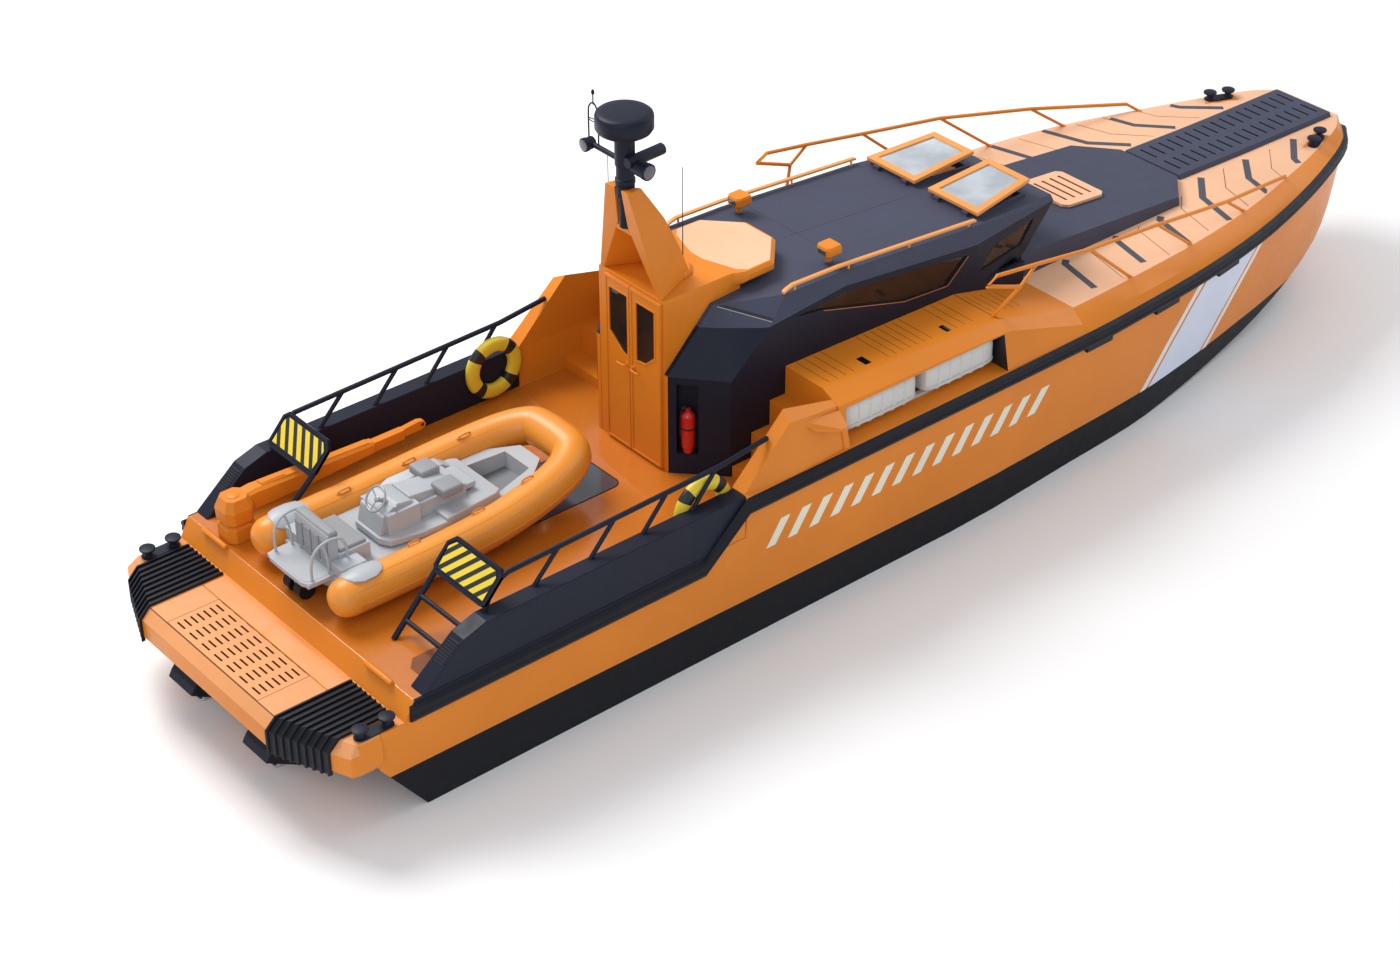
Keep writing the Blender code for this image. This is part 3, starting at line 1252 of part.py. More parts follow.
def build_tender():
    """Inflatable tender: tube collar, moulded hull with console, and its trolley wheels."""
    port = [Vector((x, TENDER_Y + y, z)) for x, y, z in TENDER_PATH]
    path = port + [Vector((p.x, 2 * TENDER_Y - p.y, p.z)) for p in reversed(port)]
    shape = bmesh.new()
    rings = []
    count = 10
    for i, point in enumerate(path):
        ahead = path[min(i + 1, len(path) - 1)] - path[max(i - 1, 0)]
        ahead.normalize()
        sideways = Vector((0, 0, 1)).cross(ahead).normalized()
        upward = ahead.cross(sideways)
        ring = []
        for k in range(count):
            angle = 2 * math.pi * k / count
            ring.append(point + TENDER_TUBE * (math.cos(angle) * sideways + math.sin(angle) * upward))
        rings.append(ring)
    inner_edge = [min(rings[i], key=lambda p: abs(p.y - TENDER_Y)) for i in range(5)]
    for end, point in ((0, path[0]), (-1, path[-1])):
        cone = []
        for reach, scale in ((0.10, 0.92), (0.19, 0.6), (0.23, 0.25)):
            cone.append([point + (p - point) * scale - Vector((reach, 0, 0)) for p in rings[end]])
        if end == 0:
            rings = list(reversed(cone)) + rings
        else:
            rings = rings + cone
    add_loft(shape, rings)
    tubes = finish("tender_tubes", shape, "orange_paint", smooth=50)

    shape = bmesh.new()
    sections = []
    for inner, keel, top in zip(inner_edge, (0.08, 0.03, SEAT, 0.04, 0.12), (0.33, 0.33, 0.34, 0.37, 0.42)):
        x = inner.x
        half = inner.y - TENDER_Y - 2 * SEAT
        sections.append([(x, TENDER_Y, keel), (x, TENDER_Y + half, keel + 0.14), (x, TENDER_Y + half, top),
                         (x, TENDER_Y - half, top), (x, TENDER_Y - half, keel + 0.14)])
    nose = ((0.0, 0.24), (0.17, 0.36), (0.17, 0.46), (-0.17, 0.46), (-0.17, 0.36))
    sections.append([(-1.30, TENDER_Y + across, z) for across, z in nose])
    add_loft(shape, sections)
    body = finish("tender_hull", shape, "grey_plastic")
    parts = bmesh.new()
    y = TENDER_Y
    for low, high in (
        ((-4.38, y - 0.38, 0.30), (-4.05, y + 0.38, 0.345)),
        ((-4.30, y - 0.03, 0.1245), (-4.22, y + 0.03, 0.32)),
        ((-4.06, y - 0.30, 0.25), (-3.95, y + 0.30, 0.76)),
        ((-3.96, y - 0.32, 0.25), (-3.58, y + 0.32, 0.50)),
        ((-3.32, y - 0.28, 0.25), (-2.92, y + 0.22, 0.66)),
        ((-2.95, y - 0.22, 0.25), (-2.30, y + 0.22, 0.60)),
    ):
        add_box(parts, low, high)
    combine(body, finish_cutter("tender_fittings", parts), "UNION", overlapping=True)
    well = bmesh.new()
    add_loft(well, [
        [(-2.08, y - 0.33, 0.16), (-2.08, y + 0.33, 0.16), (-1.50, y + 0.20, 0.26), (-1.50, y - 0.20, 0.26)],
        [(-2.08, y - 0.35, 0.60), (-2.08, y + 0.35, 0.60), (-1.46, y + 0.22, 0.60), (-1.46, y - 0.22, 0.60)],
    ])
    combine(body, finish_cutter("tender_bow_well", well))

    axle_z = TENDER_WHEEL + 0.006
    shape = bmesh.new()
    add_rod(shape, (TENDER_AXLE_X, y - 0.15, axle_z), (TENDER_AXLE_X, y - 0.04, axle_z), TENDER_WHEEL, 20)
    wheels = finish("tender_wheels", shape, "black_rubber", pivot=(TENDER_AXLE_X, y, axle_z), smooth=40)
    other = bmesh.new()
    add_rod(other, (TENDER_AXLE_X, y + 0.04, axle_z), (TENDER_AXLE_X, y + 0.15, axle_z), TENDER_WHEEL, 20)
    combine(wheels, finish_cutter("tender_wheel_other", other), "UNION")
    axle = bmesh.new()
    add_rod(axle, (TENDER_AXLE_X, y - 0.06, axle_z), (TENDER_AXLE_X, y + 0.06, axle_z), 0.018, 10)
    combine(wheels, finish_cutter("tender_axle", axle), "UNION")
    return tubes, body, wheels


def build_cabin():
    """Helm console across the front of the cabin, and two helm seats."""
    shape = bmesh.new()
    add_prism(shape, [(4.30, SEAT), (4.22, 0.55), (4.28, 0.80), (4.60, 0.98), (4.84, 0.98), (4.84, SEAT)],
              -0.98, 0.98, "y")
    finish("helm_console", shape, "navy_paint")
    for side in (1, -1):
        shape = bmesh.new()
        add_box(shape, (2.98, 0.40, SEAT), (3.30, 0.72, 0.52))
        flip_side(shape, side)
        seat = finish(f"helm_seat_{side_name(side)}", shape, "orange_paint")
        cushions = bmesh.new()
        add_box(cushions, (2.90, 0.33, 0.50), (3.40, 0.79, 0.64))
        add_prism(cushions, [(2.84, 0.50), (2.76, 1.30), (2.88, 1.32), (2.98, 0.55)], 0.34, 0.78, "y")
        flip_side(cushions, side)
        cutter = finish_cutter(f"helm_seat_cushions_{side_name(side)}", cushions)
        combine(seat, cutter, "UNION", overlapping=True)


# Waterjets

def build_waterjet(side):
    """Waterjet: housing on the transom, steering nozzle on an upright pin, and the reverse bucket on it."""
    y = side * JET_Y
    word = side_name(side)
    shape = bmesh.new()
    around = 16
    front = []
    rear = []
    for k in range(around):
        angle = 2 * math.pi * (k + 0.5) / around
        py = y + 0.235 * math.cos(angle)
        pz = JET_Z + 0.235 * math.sin(angle)
        front.append((TRANSOM_X + TRANSOM_RAKE * (TRANSOM_KNUCKLE_Z - pz) - SEAT * 2, py, pz))
        rear.append((JET_FACE_X, py, pz))
    add_loft(shape, [front, rear])
    housing = finish(f"jet_housing_{word}", shape, "navy_paint", smooth=40)
    lugs = bmesh.new()
    for z in (JET_Z - LUG_REACH - 0.02, JET_Z + LUG_REACH):
        add_box(lugs, (NOZZLE_X - 0.05, y - 0.045, z), (JET_FACE_X + 0.03, y + 0.045, z + 0.02))
    combine(housing, finish_cutter(f"jet_lugs_{word}", lugs), "UNION", overlapping=True)

    shape = bmesh.new()
    rings = []
    for ahead, radius in ((0.145, 0.06), (0.10, 0.12), (0.0, 0.158), (-0.12, 0.158), (-0.33, 0.125)):
        ring = []
        for k in range(around):
            angle = 2 * math.pi * k / around
            ring.append((NOZZLE_X + ahead, y + radius * math.cos(angle), JET_Z + radius * math.sin(angle)))
        rings.append(ring)
    add_loft(shape, rings)
    nozzle = finish(f"jet_nozzle_{word}", shape, "navy_paint", pivot=(NOZZLE_X, y, JET_Z), smooth=40)
    bore = bmesh.new()
    add_rod(bore, (NOZZLE_X - 0.10, y, JET_Z), (NOZZLE_X - 0.40, y, JET_Z), 0.10, 16)
    combine(nozzle, finish_cutter(f"jet_bore_{word}", bore))
    pins = bmesh.new()
    for up in (-1, 1):
        tip_z = JET_Z + up * (LUG_REACH - PIN_GAP)
        tip_y = y + up * (CHEEK_Y - PIN_GAP)
        add_rod(pins, (NOZZLE_X, y, JET_Z + up * 0.13), (NOZZLE_X, y, tip_z), 0.03, 12)
        add_rod(pins, (BUCKET_X, y + up * 0.12, JET_Z), (BUCKET_X, tip_y, JET_Z), 0.025, 12)
    combine(nozzle, finish_cutter(f"jet_pins_{word}", pins), "UNION", overlapping=True)

    shape = bmesh.new()
    inner = BUCKET_REACH - 0.03
    arc = [(BUCKET_REACH, a) for a in range(22, 101, 13)] + [(inner, a) for a in range(100, 21, -13)]
    back = [(BUCKET_X - r * math.cos(math.radians(a)), JET_Z + r * math.sin(math.radians(a))) for r, a in arc]
    add_prism(shape, back, y - 0.22, y + 0.22, "y")
    bucket = finish(f"jet_bucket_{word}", shape, "navy_paint", pivot=(BUCKET_X, y, JET_Z))
    cheeks = bmesh.new()
    for cheek in (-1, 1):
        fan = [(BUCKET_X + 0.05, JET_Z - 0.02), (BUCKET_X - 0.03, JET_Z - 0.05)]
        reach = BUCKET_REACH - 0.01
        for degrees in range(22, 101, 13):
            angle = math.radians(degrees)
            fan.append((BUCKET_X - reach * math.cos(angle), JET_Z + reach * math.sin(angle)))
        low, high = sorted((y + cheek * CHEEK_Y, y + cheek * (CHEEK_Y + 0.02)))
        add_prism(cheeks, fan, low, high, "y")
    combine(bucket, finish_cutter(f"jet_cheeks_{word}", cheeks), "UNION")
    return housing, nozzle, bucket


build_hull()
build_rub_rail()
build_platform()
build_trunk()
build_fore_hatch()
build_walkway()
build_wheelhouse()
build_glazing()
build_cabin()
build_housing()
build_mast()
build_crane()
build_tender()
for SIDE in (1, -1):
    SIDE_WORD = side_name(SIDE)
    build_mat(SIDE)
    build_bollard(f"stern_bollard_{SIDE_WORD}", (-4.97, SIDE * 1.96, -0.10), (-4.66, SIDE * 1.96, -0.10),
                  PLATFORM_Z + 0.0005, SIDE)
    build_bollard(f"bow_bollard_{SIDE_WORD}", (10.40, SIDE * 0.86, 0.73), (10.64, SIDE * 0.76, 0.73),
                  station_value(10.36, 8) + 0.0005, SIDE)
    build_bulwark(SIDE)
    build_aft_rail(SIDE)
    build_side_deck(SIDE)
    build_rafts(SIDE)
    build_door(SIDE)
    build_hatch(SIDE)
    build_roof_rail(SIDE)
    build_fore_rail(SIDE)
    build_extinguisher(SIDE)
    build_life_ring(SIDE)
    build_waterjet(SIDE)
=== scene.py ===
"""Looks of the fast rescue vessel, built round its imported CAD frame.

Lengths are in metres. Places are given in the deck frame: x forward from the wheelhouse door, y to port,
z up from the aft deck. DECK sets that frame in the vessel's own frame, whose floor is the waterline.
What comes in pairs is shaped to port and mirrored to starboard.
"""

import json
from math import atan2, copysign, cos, degrees, pi, radians, sin

import bmesh
import bpy
from mathutils import Matrix, Vector
from mathutils.bvhtree import BVHTree

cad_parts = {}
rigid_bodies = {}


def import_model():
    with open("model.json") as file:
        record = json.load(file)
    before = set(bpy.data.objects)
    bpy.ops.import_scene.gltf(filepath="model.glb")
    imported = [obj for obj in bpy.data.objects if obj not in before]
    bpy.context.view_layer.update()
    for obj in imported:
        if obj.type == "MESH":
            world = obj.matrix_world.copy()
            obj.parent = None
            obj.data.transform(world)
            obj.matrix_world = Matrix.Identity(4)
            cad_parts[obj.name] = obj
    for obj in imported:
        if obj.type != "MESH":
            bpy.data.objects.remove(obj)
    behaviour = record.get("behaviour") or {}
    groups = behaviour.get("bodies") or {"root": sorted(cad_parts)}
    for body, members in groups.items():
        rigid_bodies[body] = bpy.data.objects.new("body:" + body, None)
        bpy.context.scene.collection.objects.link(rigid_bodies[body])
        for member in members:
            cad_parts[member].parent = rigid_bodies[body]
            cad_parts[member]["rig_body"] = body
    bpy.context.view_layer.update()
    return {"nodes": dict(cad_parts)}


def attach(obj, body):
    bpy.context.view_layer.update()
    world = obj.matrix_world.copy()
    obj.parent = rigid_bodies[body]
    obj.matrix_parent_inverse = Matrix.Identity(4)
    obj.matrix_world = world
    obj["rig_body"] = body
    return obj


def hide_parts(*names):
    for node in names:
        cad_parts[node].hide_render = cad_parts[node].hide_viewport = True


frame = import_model()

DECK = Vector((-3, 0, 1.4))
SIDES = (("port", 1), ("starboard", -1))
UP = Vector((0, 0, 1))
LIFT = 0.0015
STEP = 0.1
GLOSS_RANGE = 0.08


# Materials

def shader_nodes(name):
    """A new material, its node tree and its Principled shader."""
    made = bpy.data.materials.new(name)
    made.use_nodes = True
    return made, made.node_tree, made.node_tree.nodes["Principled BSDF"]


def noise(tree, scale, detail=3):
    """Object-space noise."""
    place = tree.nodes.new("ShaderNodeTexCoord")
    found = tree.nodes.new("ShaderNodeTexNoise")
    found.inputs["Scale"].default_value = scale
    found.inputs["Detail"].default_value = detail
    tree.links.new(place.outputs["Object"], found.inputs["Vector"])
    return found.outputs["Fac"]


def ramp(tree, source, low, high, first, second):
    """Two colours, or two greys, across a stretch of the source."""
    made = tree.nodes.new("ShaderNodeValToRGB")
    for end, position, colour in zip(made.color_ramp.elements, (low, high), (first, second)):
        end.position = position
        end.color = (*colour, 1)
    tree.links.new(source, made.inputs["Fac"])
    return made.outputs["Color"]


def tint(colour, factor):
    """A lighter or darker shade of a colour."""
    return tuple(min(1, part * factor) for part in colour)


def coating(name, colour, roughness=0.4, metallic=0, coat=0, grain=260, bump=0.05, speckle=0.04,
            patches=0.05, shine=0.5):
    """Paint, rubber or moulded plastic: patchy colour, fine grain in the gloss and a fine bump."""
    made, tree, shader = shader_nodes(name)
    broad = ramp(tree, noise(tree, 0.9), 0.3, 0.7, tint(colour, 1 - patches), tint(colour, 1 + patches))
    fine_noise = noise(tree, grain, 2)
    fine = ramp(tree, fine_noise, 0.35, 0.65, (1 - speckle,) * 3, (1,) * 3)
    mix = tree.nodes.new("ShaderNodeMix")
    mix.data_type = "RGBA"
    mix.blend_type = "MULTIPLY"
    mix.inputs["Factor"].default_value = 1
    tree.links.new(broad, mix.inputs["A"])
    tree.links.new(fine, mix.inputs["B"])
    tree.links.new(mix.outputs["Result"], shader.inputs["Base Color"])
    smoother, rougher = roughness - GLOSS_RANGE / 2, roughness + GLOSS_RANGE / 2
    dull = ramp(tree, noise(tree, 7), 0.3, 0.7, (smoother,) * 3, (rougher,) * 3)
    tree.links.new(dull, shader.inputs["Roughness"])
    relief = tree.nodes.new("ShaderNodeBump")
    relief.inputs["Strength"].default_value = bump
    relief.inputs["Distance"].default_value = 0.002
    tree.links.new(fine_noise, relief.inputs["Height"])
    tree.links.new(relief.outputs["Normal"], shader.inputs["Normal"])
    shader.inputs["Metallic"].default_value = metallic
    shader.inputs["Coat Weight"].default_value = coat
    shader.inputs["Specular IOR Level"].default_value = shine
    shader.inputs["Coat Roughness"].default_value = 0.12
    return made


def glazing(name, colour, roughness, clear):
    """Tinted glass that lets the inside show faintly."""
    made, tree, shader = shader_nodes(name)
    haze = ramp(tree, noise(tree, 3), 0.35, 0.65, tint(colour, 0.85), tint(colour, 1.1))
    tree.links.new(haze, shader.inputs["Base Color"])
    shader.inputs["Roughness"].default_value = roughness
    shader.inputs["Transmission Weight"].default_value = clear
    shader.inputs["IOR"].default_value = 1.3
    return made


PAINT = coating("orange_paint", (0.74, 0.225, 0.016), 0.36, coat=0.05, shine=0.22)
DECK_GLOSS = coating("aft_deck_paint", (0.58, 0.165, 0.014), 0.24, coat=0.7, grain=120, bump=0.35)
# Non-slip paint. Its peach is partly a painted highlight on the orange tops.
NON_SLIP_HIGHLIGHT = coating("non_slip_peach_highlight", (0.88, 0.5, 0.3), 0.62, grain=420, bump=0.5, speckle=0.12)
NAVY_PAINT = coating("navy_paint", (0.014, 0.017, 0.032), 0.42, grain=300, bump=0.12, speckle=0.15,
                     shine=0.16)
# Navy non-slip, lighter than the navy paint. The lightness is a painted sky reflection on the tops.
NAVY_DECK_REFLECTION = coating("navy_non_slip_reflection", (0.062, 0.068, 0.112), 0.6, grain=420, bump=0.6, speckle=0.3,
                    shine=0.3)
BOOT = coating("bottom_paint", (0.009, 0.01, 0.014), 0.5, speckle=0.1, shine=0.12)
RUBBER = coating("black_rubber", (0.009, 0.01, 0.016), 0.5, speckle=0.2, bump=0.2, shine=0.25)
CHEVRON = coating("chevron_strip", (0.075, 0.078, 0.1), 0.6, grain=420, bump=0.5, speckle=0.25)
SEAM = coating("seam_dark", (0.07, 0.025, 0.008), 0.7)
BAND = coating("band_blue", (0.66, 0.73, 0.88), 0.35)
STRIP = coating("strip_white", (0.8, 0.78, 0.76), 0.35)
REFLECTIVE = coating("reflective_cream", (0.86, 0.82, 0.66), 0.3, grain=700, speckle=0.1)
CANISTER = coating("raft_white", (0.66, 0.67, 0.65), 0.42, grain=500, bump=0.2)
MOULDING = coating("grey_moulding", (0.42, 0.435, 0.46), 0.42, grain=420, bump=0.15)
TUBE_FABRIC = coating("tube_fabric", (0.82, 0.29, 0.03), 0.36, grain=900, bump=0.2, speckle=0.06)
RED = coating("extinguisher_red", (0.55, 0.012, 0.012), 0.28, coat=0.4)
YELLOW = coating("hazard_yellow", (0.8, 0.6, 0.04), 0.4)
# Black paint, also laid as painted shade in slots, vents and gaps.
BLACK = coating("black_and_painted_shade", (0.014, 0.014, 0.018), 0.45)
STEEL = coating("bare_steel", (0.42, 0.43, 0.45), 0.32, metallic=0.9)
SEAT = coating("seat_cover", (0.55, 0.13, 0.02), 0.5, grain=500, bump=0.3)
# Paler orange for the roof lids and grab rails: a painted highlight.
ORANGE_HIGHLIGHT = coating("orange_painted_highlight", (0.8, 0.33, 0.09), 0.45, shine=0.3)
# Paler orange for the platform's upward faces: a painted highlight.
PLATFORM_TOP_HIGHLIGHT = coating("platform_top_painted_highlight", (0.8, 0.34, 0.13), 0.45, grain=420, bump=0.4, speckle=0.1,
                         shine=0.3)
# Dark brown for the walls of slots and gaps and for a recess: painted shade.
SLOT_SHADE = coating("slot_painted_shade", (0.2, 0.055, 0.012), 0.7)
STRAKE = coating("tube_strake", (0.7, 0.225, 0.02), 0.5, grain=900)
DARK_MOULDING = coating("dark_moulding", (0.16, 0.165, 0.18), 0.5, grain=300)
PAD_GREY = coating("grey_cushion", (0.27, 0.275, 0.29), 0.55, grain=600, bump=0.3)
STEEL_GREY = coating("satin_grey", (0.36, 0.37, 0.39), 0.35, metallic=0.3)
LENS = coating("lamp_lens", (0.05, 0.055, 0.07), 0.1, coat=1)
DARK_PANEL = coating("dark_gloss_panel", (0.045, 0.055, 0.08), 0.16, coat=1, grain=60, bump=0.3)
GLASS = glazing("window_glass", (0.3, 0.2, 0.15), 0.02, 0.92)
PALE_GLASS = glazing("hatch_glass", (0.62, 0.67, 0.72), 0.12, 0.35)


# Pieces

BODY_OF = {name: node["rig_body"] for name, node in frame["nodes"].items()}


def to_object(name, shape):
    """A bmesh as an object of the scene."""
    mesh = bpy.data.meshes.new(name)
    shape.to_mesh(mesh)
    shape.free()
    made = bpy.data.objects.new(name, mesh)
    bpy.context.scene.collection.objects.link(made)
    return made


def add_bevel(target, width, smooth, segments):
    """A modifier that rounds the edges sharper than smooth degrees."""
    rounding = target.modifiers.new("rounding", "BEVEL")
    rounding.width = width
    rounding.segments = segments
    rounding.limit_method = "ANGLE"
    rounding.angle_limit = radians(smooth)
    return rounding


def piece(name, shape, materials, smooth=35, bevel=0, body="vessel", slot=None, stands_for=None,
          segments=2, choose=None, weighted=False):
    """Turn a bmesh in vessel coordinates into a piece that rides on a body.

    A piece named after a CAD node, with _skin behind, replaces that node. choose picks a face's material.
    """
    materials = materials if isinstance(materials, tuple) else (materials,)
    bmesh.ops.recalc_face_normals(shape, faces=shape.faces)
    if choose:
        for face in shape.faces:
            face.material_index = int(choose(face.calc_center_median() - DECK, face.normal))
    made = to_object(name, shape)
    for material in materials:
        made.data.materials.append(material)
    made.data.shade_smooth()
    made.data.set_sharp_from_angle(angle=radians(smooth))
    if bevel:
        add_bevel(made, bevel, smooth, segments).harden_normals = True
    if weighted:
        made.modifiers.new("even_shading", "WEIGHTED_NORMAL").keep_sharp = True
    if name.endswith("_skin"):
        stands_for = name.removesuffix("_skin")
    if stands_for:
        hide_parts(stands_for)
    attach(made, body)
    return made


def mirror(shape, side):
    """Reflect a port shape to starboard where side is -1."""
    if side < 0:
        bmesh.ops.scale(shape, vec=(1, -1, 1), verts=shape.verts)
        bmesh.ops.reverse_faces(shape, faces=shape.faces)
    return shape


def pair(name, shape, *details, body="vessel", **more):
    """A port shape's piece and its mirror image. {} stands for the side in the names."""
    for word, side in SIDES:
        piece(name.format(word), mirror(shape.copy(), side), *details, body=body.format(word), **more)
    shape.free()


def node_shape(node):
    """A welded copy of a CAD node's mesh, with its flat faces whole again."""
    shape = bmesh.new()
    shape.from_mesh(frame["nodes"][node].data)
    bmesh.ops.remove_doubles(shape, verts=shape.verts, dist=0.00005)
    bmesh.ops.dissolve_limit(shape, angle_limit=radians(0.6), verts=shape.verts, edges=shape.edges)
    return shape


def skin(node, materials, bevel=0.006, smooth=35, cuts=(), **more):
    """A finished copy of a CAD node, with rounded edges. cuts are planes that part its colours."""
    shape = node_shape(node)
    for point, normal in cuts:
        everything = [*shape.verts, *shape.edges, *shape.faces]
        bmesh.ops.bisect_plane(shape, geom=everything, plane_co=Vector(point) + DECK, plane_no=normal)
    piece(f"{node}_skin", shape, materials, smooth, bevel, BODY_OF[node], **more)


def surface(*nodes):
    """A tree of CAD faces, in the deck frame, that rays are cast onto."""
    points = []
    faces = []
    for node in nodes:
        mesh = frame["nodes"][node].data
        base = len(points)
        points += [vert.co - DECK for vert in mesh.vertices]
        faces += [[base + i for i in polygon.vertices] for polygon in mesh.polygons]
    return BVHTree.FromPolygons(points, faces)


def drop(tree, x, y):
    """The point of the surface below a place."""
    return tree.ray_cast(Vector((x, y, 8)), -UP)[0]


def reach_side(tree, x, z, side=1):
    """The point of the surface that a ray from abeam meets."""
    return tree.ray_cast(Vector((x, side * 6, z)), Vector((0, -side, 0)))[0]


def add_slab(shape, rows, lift):
    """A thin closed slab on rows of surface points, each row with the same number of points."""
    lower = [[shape.verts.new(p + DECK - lift * 0.3) for p in row] for row in rows]
    upper = [[shape.verts.new(p + DECK + lift) for p in row] for row in rows]
    across = len(rows[0])
    for i in range(len(rows) - 1):
        for k in range(across - 1):
            shape.faces.new((upper[i][k], upper[i + 1][k], upper[i + 1][k + 1], upper[i][k + 1]))
            shape.faces.new((lower[i][k], lower[i][k + 1], lower[i + 1][k + 1], lower[i + 1][k]))
        shape.faces.new((upper[i][0], lower[i][0], lower[i + 1][0], upper[i + 1][0]))
        shape.faces.new((upper[i][-1], upper[i + 1][-1], lower[i + 1][-1], lower[i][-1]))
    for k in range(across - 1):
        shape.faces.new((upper[0][k], upper[0][k + 1], lower[0][k + 1], lower[0][k]))
        shape.faces.new((upper[-1][k], lower[-1][k], lower[-1][k + 1], upper[-1][k + 1]))


def strip_edges(points, width):
    """Left and right edge points of a band of some width along a bent line in a plane."""
    points = [Vector(p) for p in points]
    pairs = []
    for i, point in enumerate(points):
        before = (point - points[i - 1]).normalized() if i else None
        after = (points[i + 1] - point).normalized() if i < len(points) - 1 else None
        along = ((before or after) + (after or before)).normalized()
        straight = after or before
        normal = Vector((-along.y, along.x))
        reach = width / 2 / max(0.3, normal.dot(Vector((-straight.y, straight.x))))
        pairs.append((point + normal * reach, point - normal * reach))
    return pairs


def add_deck_strip(shape, tree, points, width, lift=LIFT):
    """A thin strip laid along a bent line on a deck."""
    rows = []
    pairs = strip_edges(points, width)
    for (left, right), (next_left, next_right) in zip(pairs, pairs[1:]):
        count = max(1, int((next_left - left).length / STEP))
        rows += [(left.lerp(next_left, i / count), right.lerp(next_right, i / count)) for i in range(count)]
    rows.append(pairs[-1])
    found = [[drop(tree, p.x, p.y) for p in row] for row in rows]
    add_slab(shape, [row for row in found if None not in row], UP * lift)
    return shape


def add_side_patch(shape, tree, corners, side, lift):
    """A thin patch on the hull's side. Its (x, z) corners: low aft, low forward, high forward, high aft."""
    low_aft, low_fore, high_fore, high_aft = [Vector(c) for c in corners]
    along = max(2, int((low_fore - low_aft).length / STEP))
    tall = max(2, int((high_aft - low_aft).length / STEP))
    rows = []
    for i in range(tall + 1):
        first = low_aft.lerp(high_aft, i / tall)
        last = low_fore.lerp(high_fore, i / tall)
        rows.append([reach_side(tree, *first.lerp(last, k / along), side) for k in range(along + 1)])
    add_slab(shape, rows, Vector((0, side * lift, 0)))


def add_box(shape, low, high):
    """A box between two corners."""
    size = Vector(high) - Vector(low)
    centre = (Vector(high) + Vector(low)) / 2 + DECK
    bmesh.ops.create_cube(shape, size=1, matrix=Matrix.Translation(centre) @ Matrix.Diagonal((*size, 1)))
    return shape


def bulge(value, power):
    """A sine or cosine bent so that a circle becomes a rounded square."""
    return copysign(abs(value) ** power, value)


def circle(centre, first, second, count, offset=0):
    """Points round an ellipse with two half axes, the first of them offset steps from the first axis."""
    turns = [2 * pi * (k + offset) / count for k in range(count)]
    return [centre + cos(turn) * first + sin(turn) * second for turn in turns]


def curve(points, parts=6):
    """Points joined by a smooth curve that passes through them."""
    points = [Vector(p) for p in points]
    found = []
    for i in range(len(points) - 1):
        before = points[max(i - 1, 0)]
        first, second = points[i], points[i + 1]
        after = points[min(i + 2, len(points) - 1)]
        for k in range(parts):
            t = k / parts
            found.append(0.5 * (2 * first + (second - before) * t
                                + (2 * before - 5 * first + 4 * second - after) * t * t
                                + (3 * first - before - 3 * second + after) * t * t * t))
    return found + [points[-1]]


def add_loft(shape, rings, closed=False):
    """A body through rings of points, capped at its ends or joined into a loop."""
    rows = [[shape.verts.new(Vector(p) + DECK) for p in ring] for ring in rings]
    count = len(rows[0])
    for first, second in zip(rows, rows[1:] + rows[:1] if closed else rows[1:]):
        for k in range(count):
            ahead = (k + 1) % count
            shape.faces.new((first[k], first[ahead], second[ahead], second[k]))
    if not closed:
        shape.faces.new(list(reversed(rows[0])))
        shape.faces.new(rows[-1])
    return shape


def add_tube(shape, points, radius, sides=10, closed=False, radii=None):
    """A round tube through points."""
    points = [Vector(p) for p in points]
    rings = []
    sideways = None
    last = len(points) - 1
    for i, point in enumerate(points):
        if closed:
            along = points[(i + 1) % len(points)] - points[i - 1]
        else:
            along = points[min(i + 1, last)] - points[max(i - 1, 0)]
        along.normalize()
        sideways = sideways or along.orthogonal().normalized()
        sideways = (sideways - along * sideways.dot(along)).normalized()
        reach = radii[i] if radii else radius
        rings.append(circle(point, reach * sideways, reach * along.cross(sideways), sides))
    return add_loft(shape, rings, closed)


def add_turned(shape, foot, axis, profile, sides=24):
    """A turned body on an axis, from rings of radius and distance along the axis."""
    axis = Vector(axis).normalized()
    sideways = axis.orthogonal().normalized()
    upward = axis.cross(sideways)
    foot = Vector(foot)
    return add_loft(shape, [circle(foot + axis * along, radius * sideways, radius * upward, sides, 0.5)
                            for radius, along in profile])


def placed(axis, a, b, c):
    """The place with a and b across an axis and c along it."""
    return {"x": (c, a, b), "y": (a, c, b), "z": (a, b, c)}[axis]


def add_prism(shape, outline, low, high, axis="z"):
    """An outline drawn across one axis and drawn out along it."""
    return add_loft(shape, [[placed(axis, a, b, c) for a, b in outline] for c in (low, high)])


def inset(outline, distance):
    """The corners of a convex outline moved inwards."""
    corners = [Vector(p) for p in outline]
    area = sum(a.x * b.y - b.x * a.y for a, b in zip(corners, corners[1:] + corners[:1]))
    turn = copysign(1, area)
    found = []
    for i, corner in enumerate(corners):
        before = (corner - corners[i - 1]).normalized()
        after = (corners[(i + 1) % len(corners)] - corner).normalized()
        first = Vector((-before.y, before.x)) * turn
        second = Vector((-after.y, after.x)) * turn
        middle = (first + second).normalized()
        found.append(tuple(corner + middle * distance / middle.dot(first)))
    return found


def add_frame(shape, outline, width, low, high, axis="z"):
    """A flat frame between an outline and its inset."""
    rings = []
    for outer, inner in zip(outline, inset(outline, width)):
        rings.append([placed(axis, *outer, low), placed(axis, *outer, high), placed(axis, *inner, high),
                      placed(axis, *inner, low)])
    return add_loft(shape, rings, closed=True)


def add_slanted_box(shape, corner, first, second, third):
    """A box from one corner along three edges."""
    corner, first, second, third = Vector(corner), Vector(first), Vector(second), Vector(third)
    return add_loft(shape, [[start, start + first, start + first + second, start + second]
                            for start in (corner, corner + third)])


